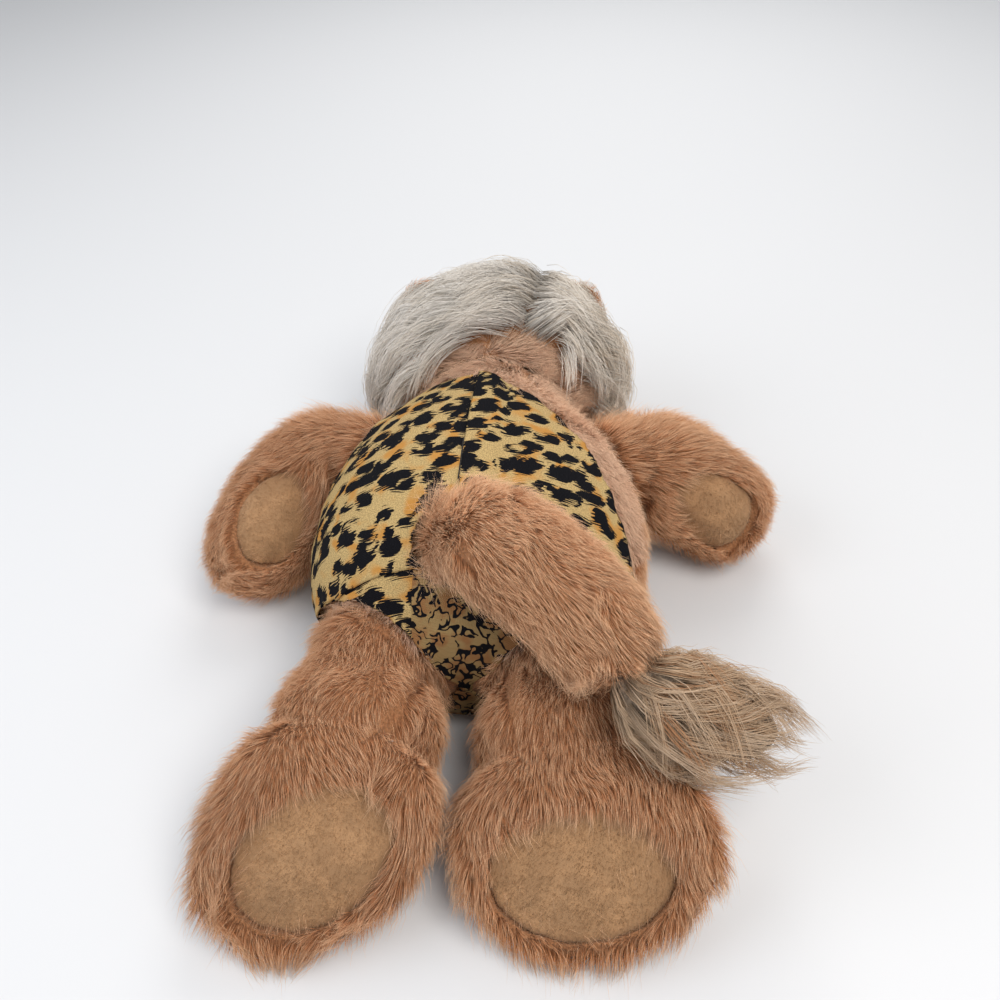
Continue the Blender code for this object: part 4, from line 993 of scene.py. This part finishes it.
class LION_OT_mane(bpy.types.Operator):
    """Lay the mane's locks round the back of the head"""

    bl_idname = "lion.mane"
    bl_label = "Mane"

    def execute(self, context):
        self.core()
        sizes = context.scene.lion_fur
        rng = np.random.default_rng(101)
        whole, parting = self.roots(rng, sizes.locks), self.roots(rng, sizes.locks // 3, PARTING_HALF)
        roots = np.concatenate([whole, parting])
        shares = np.linspace(0, 1, MANE_STEPS)
        length = sizes.lock * rng.uniform(0.7, 1.1, (len(roots), 1))
        height = rng.uniform(-5.5, 0.5, (len(roots), 1)) * MM
        point = self.held(roots, height - 2 * MM)
        guides = [point]
        unruly = np.interp(roots[:, 0], (0, 30 * MM), (0.36, 0.85))[:, None]
        bias = waves(roots, 102, 40 * MM) * unruly
        hold = np.interp(roots[:, 0], (-0.045, -0.015), (0.35, 0.65))[:, None]
        for share in shares[1:]:
            way = unit(self.flow(point) + bias)
            free = np.clip(share - hold, 0, None)
            step = point + (way + free * (-0.2, -0.5, -0.9)) * length / (MANE_STEPS - 1)
            ear = np.min([far_from(step, middle_of(f"{side}_ear")) for side in SIDES], axis=0)
            over = np.clip(1 - ear / EAR_REACH, 0, 1)[:, None] * 9 * MM
            held = self.held(step, height + 3 * MM * math.sin(share * math.pi) + over)
            point = held * (1 - free) + step * free
            guides.append(point)
        guides = np.stack(guides, axis=1)
        strand = (len(roots), MANE_STRANDS, 1)
        spread = rng.normal(size=(*strand, 3)) * 2.5 * MM
        paths = guides[:, None] + spread * (1 - 0.7 * shares**1.3)[None, None, :, None]
        paths += rng.normal(size=(*strand, 3)) * shares[:, None] ** 2 * 2.2 * MM
        first = paths[:, :, :1]
        paths = first + (paths - first) * rng.uniform(0.72, 1.0, (*strand, 1))
        paths = paths.reshape(-1, MANE_STEPS, 3)
        paths[:, :, 2] = np.maximum(paths[:, :, 2], FLOOR + MM)
        brown = 0.32 * np.clip((roots[:, 0] - 0.008) / 0.03, 0, 1)
        tones = 0.88 - brown + rng.normal(size=len(roots)) * 0.11
        tones = tones[:, None] + rng.normal(size=(len(roots), MANE_STRANDS)) * 0.09
        strand_pieces("mane_hair", paths, 0.18 * MM, tones.ravel(), "mane_locks", "head", "mane_plush")
        return {"FINISHED"}

    def core(self):
        """The mane's backing, drawn in under the locks and forward of the nape."""
        core = softened("mane_core", ["mane"], 2.6 * MM, 4, "mane_backing")
        apply(core, "DISPLACE", strength=-6 * MM, mid_level=0.0)
        apply(core, "REMESH", mode="VOXEL", voxel_size=2 * MM)
        apply(core, "SMOOTH", factor=0.5, iterations=3)
        points, _ = points_of(core)
        move(core, points + 0.6 * np.maximum(MANE_REAR + 0.014 - points, 0) * (0, 1, 0))
        hold_above_floor(core, 2 * MM)
        dressed(core, "head", "mane_plush", "mane")

    def roots(self, rng, amount, half_width=1.0):
        """Points on the mane behind the face, clear of the neck and near the parting."""
        spots = unit(rng.normal(size=(amount * 40, 3)))
        points = HEAD_MIDDLE + (spots * MANE_HALF_SIZES) @ HEAD_AXES
        behind = (points - HEAD_MIDDLE) @ HEAD_AXES[2] < MANE_FRONT
        neck = far_from(points, middle_of("neck_stuffing")) > NECK_ROOM
        rear = MANE_REAR - np.interp(points[:, 0], (-0.055, -0.015, 0.020, 0.060), (0.021, 0.006, 0, 0.018))
        clear = (points[:, 1] > rear) & (points[:, 2] > MANE_LOW)
        near = np.abs(points[:, 0] - PARTING_X) < half_width
        chosen = points[behind & neck & clear & near][:amount]
        return chosen[gaps(chosen, tree_of("leotard_strap")) > MANE_STRAP_ROOM]

    def held(self, points, height):
        """Points moved to a height over the mane's egg shape."""
        local = (points - HEAD_MIDDLE) @ HEAD_AXES.T
        reach = np.linalg.norm(local / MANE_HALF_SIZES, axis=1, keepdims=True)
        far = np.linalg.norm(local, axis=1, keepdims=True)
        return HEAD_MIDDLE + (local / reach * (1 + height * reach / far)) @ HEAD_AXES

    def flow(self, points):
        """Both ways from the parting over the top, then down the sides."""
        off = points - HEAD_MIDDLE - (PARTING_X, 0, -0.01) + waves(points, 105, 36 * MM) * (5 * MM, 0, 0)
        side = np.where(off[:, 0] > 0, 1.0, -1.0)
        return unit(np.c_[side * np.maximum(off[:, 2], 0.012), np.zeros(len(off)), -np.abs(off[:, 0])])


# Leotard; the body's shape is in the part's source as well

CLOTH_MAP_SIDE = 0.32
COMB_TURN = math.radians(52)
GUSSET_HALF_WIDTH = 0.024
BODY_REAR, BODY_FRONT = -0.082, 0.083
BODY_HALF_WIDTH, BODY_HEIGHT, BODY_MIDDLE_Z = 0.086, 0.1135, 0.046
BODY_PLACE_SHARES = (0.0, 0.010, 0.036, 0.091, 0.170, 0.279, 0.412, 0.558, 0.703, 0.812, 0.885, 0.945, 1.0)
BODY_WIDTH_SHARES = (0.0, 0.22, 0.43, 0.64, 0.82, 0.935, 0.995, 1.0, 0.95, 0.86, 0.755, 0.64, 0.545)
BODY_TOP_SHARES = (0.405, 0.55, 0.66, 0.765, 0.865, 0.94, 0.985, 1.0, 0.995, 0.98, 0.965, 0.95, 0.93)
BODY_LOW_SHARES = (0.405, 0.22, 0.12, 0.035, -0.02, -0.045, -0.055, -0.055, -0.045, -0.02, 0.05, 0.125, 0.19)
NECKLINE = ((-0.016, 0.079), (0.018, 0.062), (0.037, 0.048), (0.052, 0.030), (0.063, 0.010), (0.078, -0.030))
ARMHOLE = ((-0.084, 0.020), (-0.040, 0.080))
LEG_HOLE, ARM_HOLE, TAIL_HOLE = 0.0350, 0.029, 0.0182
TAIL_HOLE_SHIFT = (0.0045, 0, 0)
SIDE_TURN, OVERLAP = math.radians(95), math.radians(4.5)
CLOTH_LOW, CLOTH_HIGH = 0.160, 0.945


def edge_side(points, edge):
    """How far points lie beyond a slanting edge, seen from above."""
    (x0, y0), (x1, y1) = edge
    long = math.hypot(x1 - x0, y1 - y0)
    return ((points[:, 1] - y0) * (x1 - x0) - (points[:, 0] - x0) * (y1 - y0)) / long


def cloth_reach(points):
    """How far inside the leotard's edges points lie."""
    reaches = [-edge_side(points, edge) for edge in (ARMHOLE, *zip(NECKLINE, NECKLINE[1:]))]
    for side in SIDES:
        reaches.append(far_from(points, joint_place(f"{side}_hip")) - LEG_HOLE)
        reaches.append(far_from(points, joint_place(f"{side}_shoulder")) - ARM_HOLE)
    reaches.append(far_from(points, joint_place("tail_lift") + TAIL_HOLE_SHIFT) - TAIL_HOLE)
    return np.min(reaches, axis=0)


def body_surface(turns, places):
    """Points of the body at turns from the spine and places along it."""
    width = BODY_HALF_WIDTH * np.interp(places, BODY_PLACE_SHARES, BODY_WIDTH_SHARES)
    top = BODY_HEIGHT * np.interp(places, BODY_PLACE_SHARES, BODY_TOP_SHARES) - BODY_MIDDLE_Z
    low = BODY_MIDDLE_Z - BODY_HEIGHT * np.interp(places, BODY_PLACE_SHARES, BODY_LOW_SHARES)
    y = BODY_REAR + (BODY_FRONT - BODY_REAR) * places
    z = BODY_MIDDLE_Z + np.cos(turns) * np.where(np.cos(turns) > 0, top, low)
    return np.stack([width * np.sin(turns), y, z], axis=-1)


def cloth_panel(node, turn_range, place_range, lift_of, finish, origin, grid_size):
    """One piece of cloth of a cut size and area, laid on the body, trimmed at the openings and hemmed."""
    columns, rows = grid_size
    cloth = bpy.context.scene.lion_cloth
    turns, places = np.meshgrid(np.linspace(*turn_range, columns), np.linspace(*place_range, rows))
    grid = body_surface(turns, places)
    normal = unit(np.cross(np.gradient(grid, axis=0), np.gradient(grid, axis=1)))
    outward = (grid - (0, 0, BODY_MIDDLE_Z)) * (1, 0, 1)
    normal *= np.sign((normal * outward).sum(-1, keepdims=True))
    normal[places < 0.001] = (0, -1, 0)
    flat = grid.reshape(-1, 3)
    inside = cloth_reach(flat).reshape(rows, columns)
    pucker = np.exp(-np.clip(inside, 0, None) / (7 * MM))
    ripple = waves(flat, 201, 13 * MM)[:, 0].reshape(rows, columns)
    slow = waves(flat, 202, 45 * MM)[:, 0].reshape(rows, columns)
    hem = np.clip(1 - np.abs(inside - 2 * MM) / (3 * MM), 0, 1)
    lift = cloth.lift + lift_of(turns) + ripple * pucker * 0.7 * MM + slow * 0.5 * MM + hem * 0.5 * MM
    points = grid + normal * lift[..., None]
    points[..., 2] = np.maximum(points[..., 2], FLOOR + 0.2 * MM + cloth.thickness)
    step_u = np.linalg.norm(np.diff(points, axis=1), axis=2).mean(0)
    step_v = np.linalg.norm(np.diff(points, axis=0), axis=2).mean(1)
    u = np.append(0, np.cumsum(step_u)) / CLOTH_MAP_SIDE + origin[0]
    v = np.append(0, np.cumsum(step_v)) / CLOTH_MAP_SIDE + origin[1]
    index = np.arange(rows * columns).reshape(rows, columns)
    corners = (index[:-1, :-1], index[:-1, 1:], index[1:, 1:], index[1:, :-1])
    faces = np.stack(corners, axis=-1).reshape(-1, 4)
    kept = faces[(inside.ravel()[faces] > 0).all(1)]
    spread = np.stack(np.broadcast_arrays(u[None, :], v[:, None]), axis=-1).reshape(-1, 2)
    made = built(node + "_cloth", points, kept, spread[kept.ravel()], finish)
    finish_cloth(made, cloth.thickness)
    dressed(made, "torso", "leopard_print", node)


def finish_cloth(obj, thickness):
    """Drops loose points, evens the trimmed edge, and gives the cloth its thickness."""
    shape = bmesh.new()
    shape.from_mesh(obj.data)
    bmesh.ops.delete(shape, geom=[point for point in shape.verts if not point.link_faces], context="VERTS")
    bmesh.ops.remove_doubles(shape, verts=shape.verts, dist=0.01 * MM)
    bmesh.ops.recalc_face_normals(shape, faces=shape.faces)
    middle = Vector((0, 0, BODY_MIDDLE_Z))
    if sum(face.normal.dot(face.calc_center_median() - middle) for face in shape.faces) < 0:
        bmesh.ops.reverse_faces(shape, faces=shape.faces)
    rim = [point for point in shape.verts if point.is_boundary]
    axes = {"use_axis_x": True, "use_axis_y": True, "use_axis_z": True}
    for _ in range(6):
        bmesh.ops.smooth_vert(shape, verts=rim, factor=0.5, **axes)
    shape.to_mesh(obj.data)
    shape.free()
    apply(obj, "SOLIDIFY", thickness=thickness, offset=1.0)


class LION_OT_leotard(bpy.types.Operator):
    """Cut, print and sew the leotard"""

    bl_idname = "lion.leotard"
    bl_label = "Leotard"

    def execute(self, context):
        def over(turns):
            return np.clip((OVERLAP * 1.9 - turns) / (OVERLAP * 0.9), 0, 1) * 2.4 * MM

        length = (CLOTH_LOW, CLOTH_HIGH)
        cloth_panel(
            "leotard_back_left", (-SIDE_TURN, OVERLAP), length, lambda _: 0, "spotted_cloth", (0.02, 0.02),
            (76, 88),
        )
        cloth_panel(
            "leotard_back_right", (-OVERLAP, SIDE_TURN), length, over, "spotted_cloth", (0.46, 0.31),
            (76, 88),
        )
        cloth_panel(
            "leotard_front", (SIDE_TURN, 2 * math.pi - SIDE_TURN), length, lambda _: 0, "spotted_cloth",
            (0.10, 0.44), (90, 70),
        )
        cloth_panel(
            "leotard_gusset", (-math.pi, math.pi), (0.0, CLOTH_LOW + 0.03), lambda _: -MM, "gusset_print",
            (0.05, 0.05), (200, 36),
        )
        strap = softened("leotard_strap_cloth", ["leotard_strap"], 0.9 * MM, 2, "spotted_cloth")
        dressed(strap, "torso", "leopard_print", "leotard_strap")
        paint("hook_tape", "tape_weave")
        paint("loop_tape", "tape_weave")
        return {"FINISHED"}


# Stage

CAMERA_PLACE = Vector((0.0475, -0.3423, 0.42))
CAMERA_WAY = Vector((-0.0752, 0.7154, -0.6947)).normalized()
CAMERA_ROLL = math.radians(2.5)
CAMERA_LENS = 34.2
LIT_PLACE = Vector((0, 0, 0.04))
LAMPS = (
    ("key", (0.5, -0.5, 1.1), 0.7, 11.0, (1.0, 0.96, 0.91)),
    ("fill", (-0.9, -0.3, 0.8), 0.9, 6.0, (0.93, 0.96, 1.0)),
    ("back", (0.1, 1.0, 0.9), 0.8, 6.0, (1.0, 0.98, 0.95)),
)


class LION_OT_stage(bpy.types.Operator):
    """Set the camera, the lamps and the floor"""

    bl_idname = "lion.stage"
    bl_label = "Stage"

    def execute(self, context):
        scene = context.scene
        scene.view_settings.view_transform = "Standard"
        lens = bpy.data.cameras.new("camera")
        lens.lens = CAMERA_LENS
        lens.sensor_width = 36
        lens.clip_start = 0.01
        right = CAMERA_WAY.cross(Vector((0, 0, 1))).normalized()
        up = right.cross(CAMERA_WAY)
        across = right * math.cos(CAMERA_ROLL) - up * math.sin(CAMERA_ROLL)
        rise = right * math.sin(CAMERA_ROLL) + up * math.cos(CAMERA_ROLL)
        turn = Matrix((across, rise, -CAMERA_WAY)).transposed().to_4x4()
        scene.camera = linked("camera", lens)
        scene.camera.matrix_world = Matrix.Translation(CAMERA_PLACE) @ turn
        self.floor()
        for name, place, size, power, colour in LAMPS:
            data = bpy.data.lights.new(name, "AREA")
            data.size, data.energy, data.color = size, power, colour
            lamp = linked(name, data)
            lamp.location = place
            lamp.rotation_euler = (LIT_PLACE - lamp.location).to_track_quat("-Z", "Y").to_euler()
        world = bpy.data.worlds.new("studio")
        world.use_nodes = True
        ground = world.node_tree.nodes["Background"]
        ground.inputs["Color"].default_value = (0.95, 0.97, 1.0, 1.0)
        ground.inputs["Strength"].default_value = 0.42
        scene.world = world
        return {"FINISHED"}

    def floor(self):
        bpy.ops.object.select_all(action="DESELECT")
        bpy.ops.mesh.primitive_plane_add(size=8)
        floor = bpy.context.object
        floor.name = "floor"
        _, shader = new_material("board", 0.75)
        shader.inputs["Base Color"].default_value = (0.72, 0.73, 0.75, 1.0)
        floor.data.materials.append(bpy.data.materials["board"])


GROUPS = {"lion_fur": LionFur, "lion_colours": LionColours, "lion_cloth": LionCloth}
OPERATORS = (
    LION_OT_materials, LION_OT_fillings, LION_OT_body, LION_OT_limbs, LION_OT_tail, LION_OT_head,
    LION_OT_ears, LION_OT_mane, LION_OT_leotard, LION_OT_stage,
)


class LION_PT_parts(bpy.types.Panel):
    """The lion's parts, in the order in which they are made"""

    bl_label = "Plush lion"
    bl_space_type = "VIEW_3D"
    bl_region_type = "UI"
    bl_category = "Lion"

    def draw(self, context):
        for kind in OPERATORS:
            self.layout.operator(kind.bl_idname)
        for name in GROUPS:
            group = getattr(context.scene, name)
            for setting in group.bl_rna.properties.keys():
                if setting not in ("rna_type", "name"):
                    self.layout.prop(group, setting)


def register():
    for kind in (*GROUPS.values(), *OPERATORS, LION_PT_parts):
        bpy.utils.register_class(kind)
    for name, group in GROUPS.items():
        setattr(bpy.types.Scene, name, PointerProperty(type=group))


def unregister():
    for name in GROUPS:
        delattr(bpy.types.Scene, name)
    for kind in (LION_PT_parts, *reversed(OPERATORS), *GROUPS.values()):
        bpy.utils.unregister_class(kind)


def main():
    register()
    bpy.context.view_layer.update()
    for step in (
        bpy.ops.lion.materials, bpy.ops.lion.fillings, bpy.ops.lion.body, bpy.ops.lion.limbs,
        bpy.ops.lion.tail, bpy.ops.lion.head, bpy.ops.lion.ears, bpy.ops.lion.mane,
        bpy.ops.lion.leotard, bpy.ops.lion.stage,
    ):
        step()


if __name__ == "__main__":
    main()
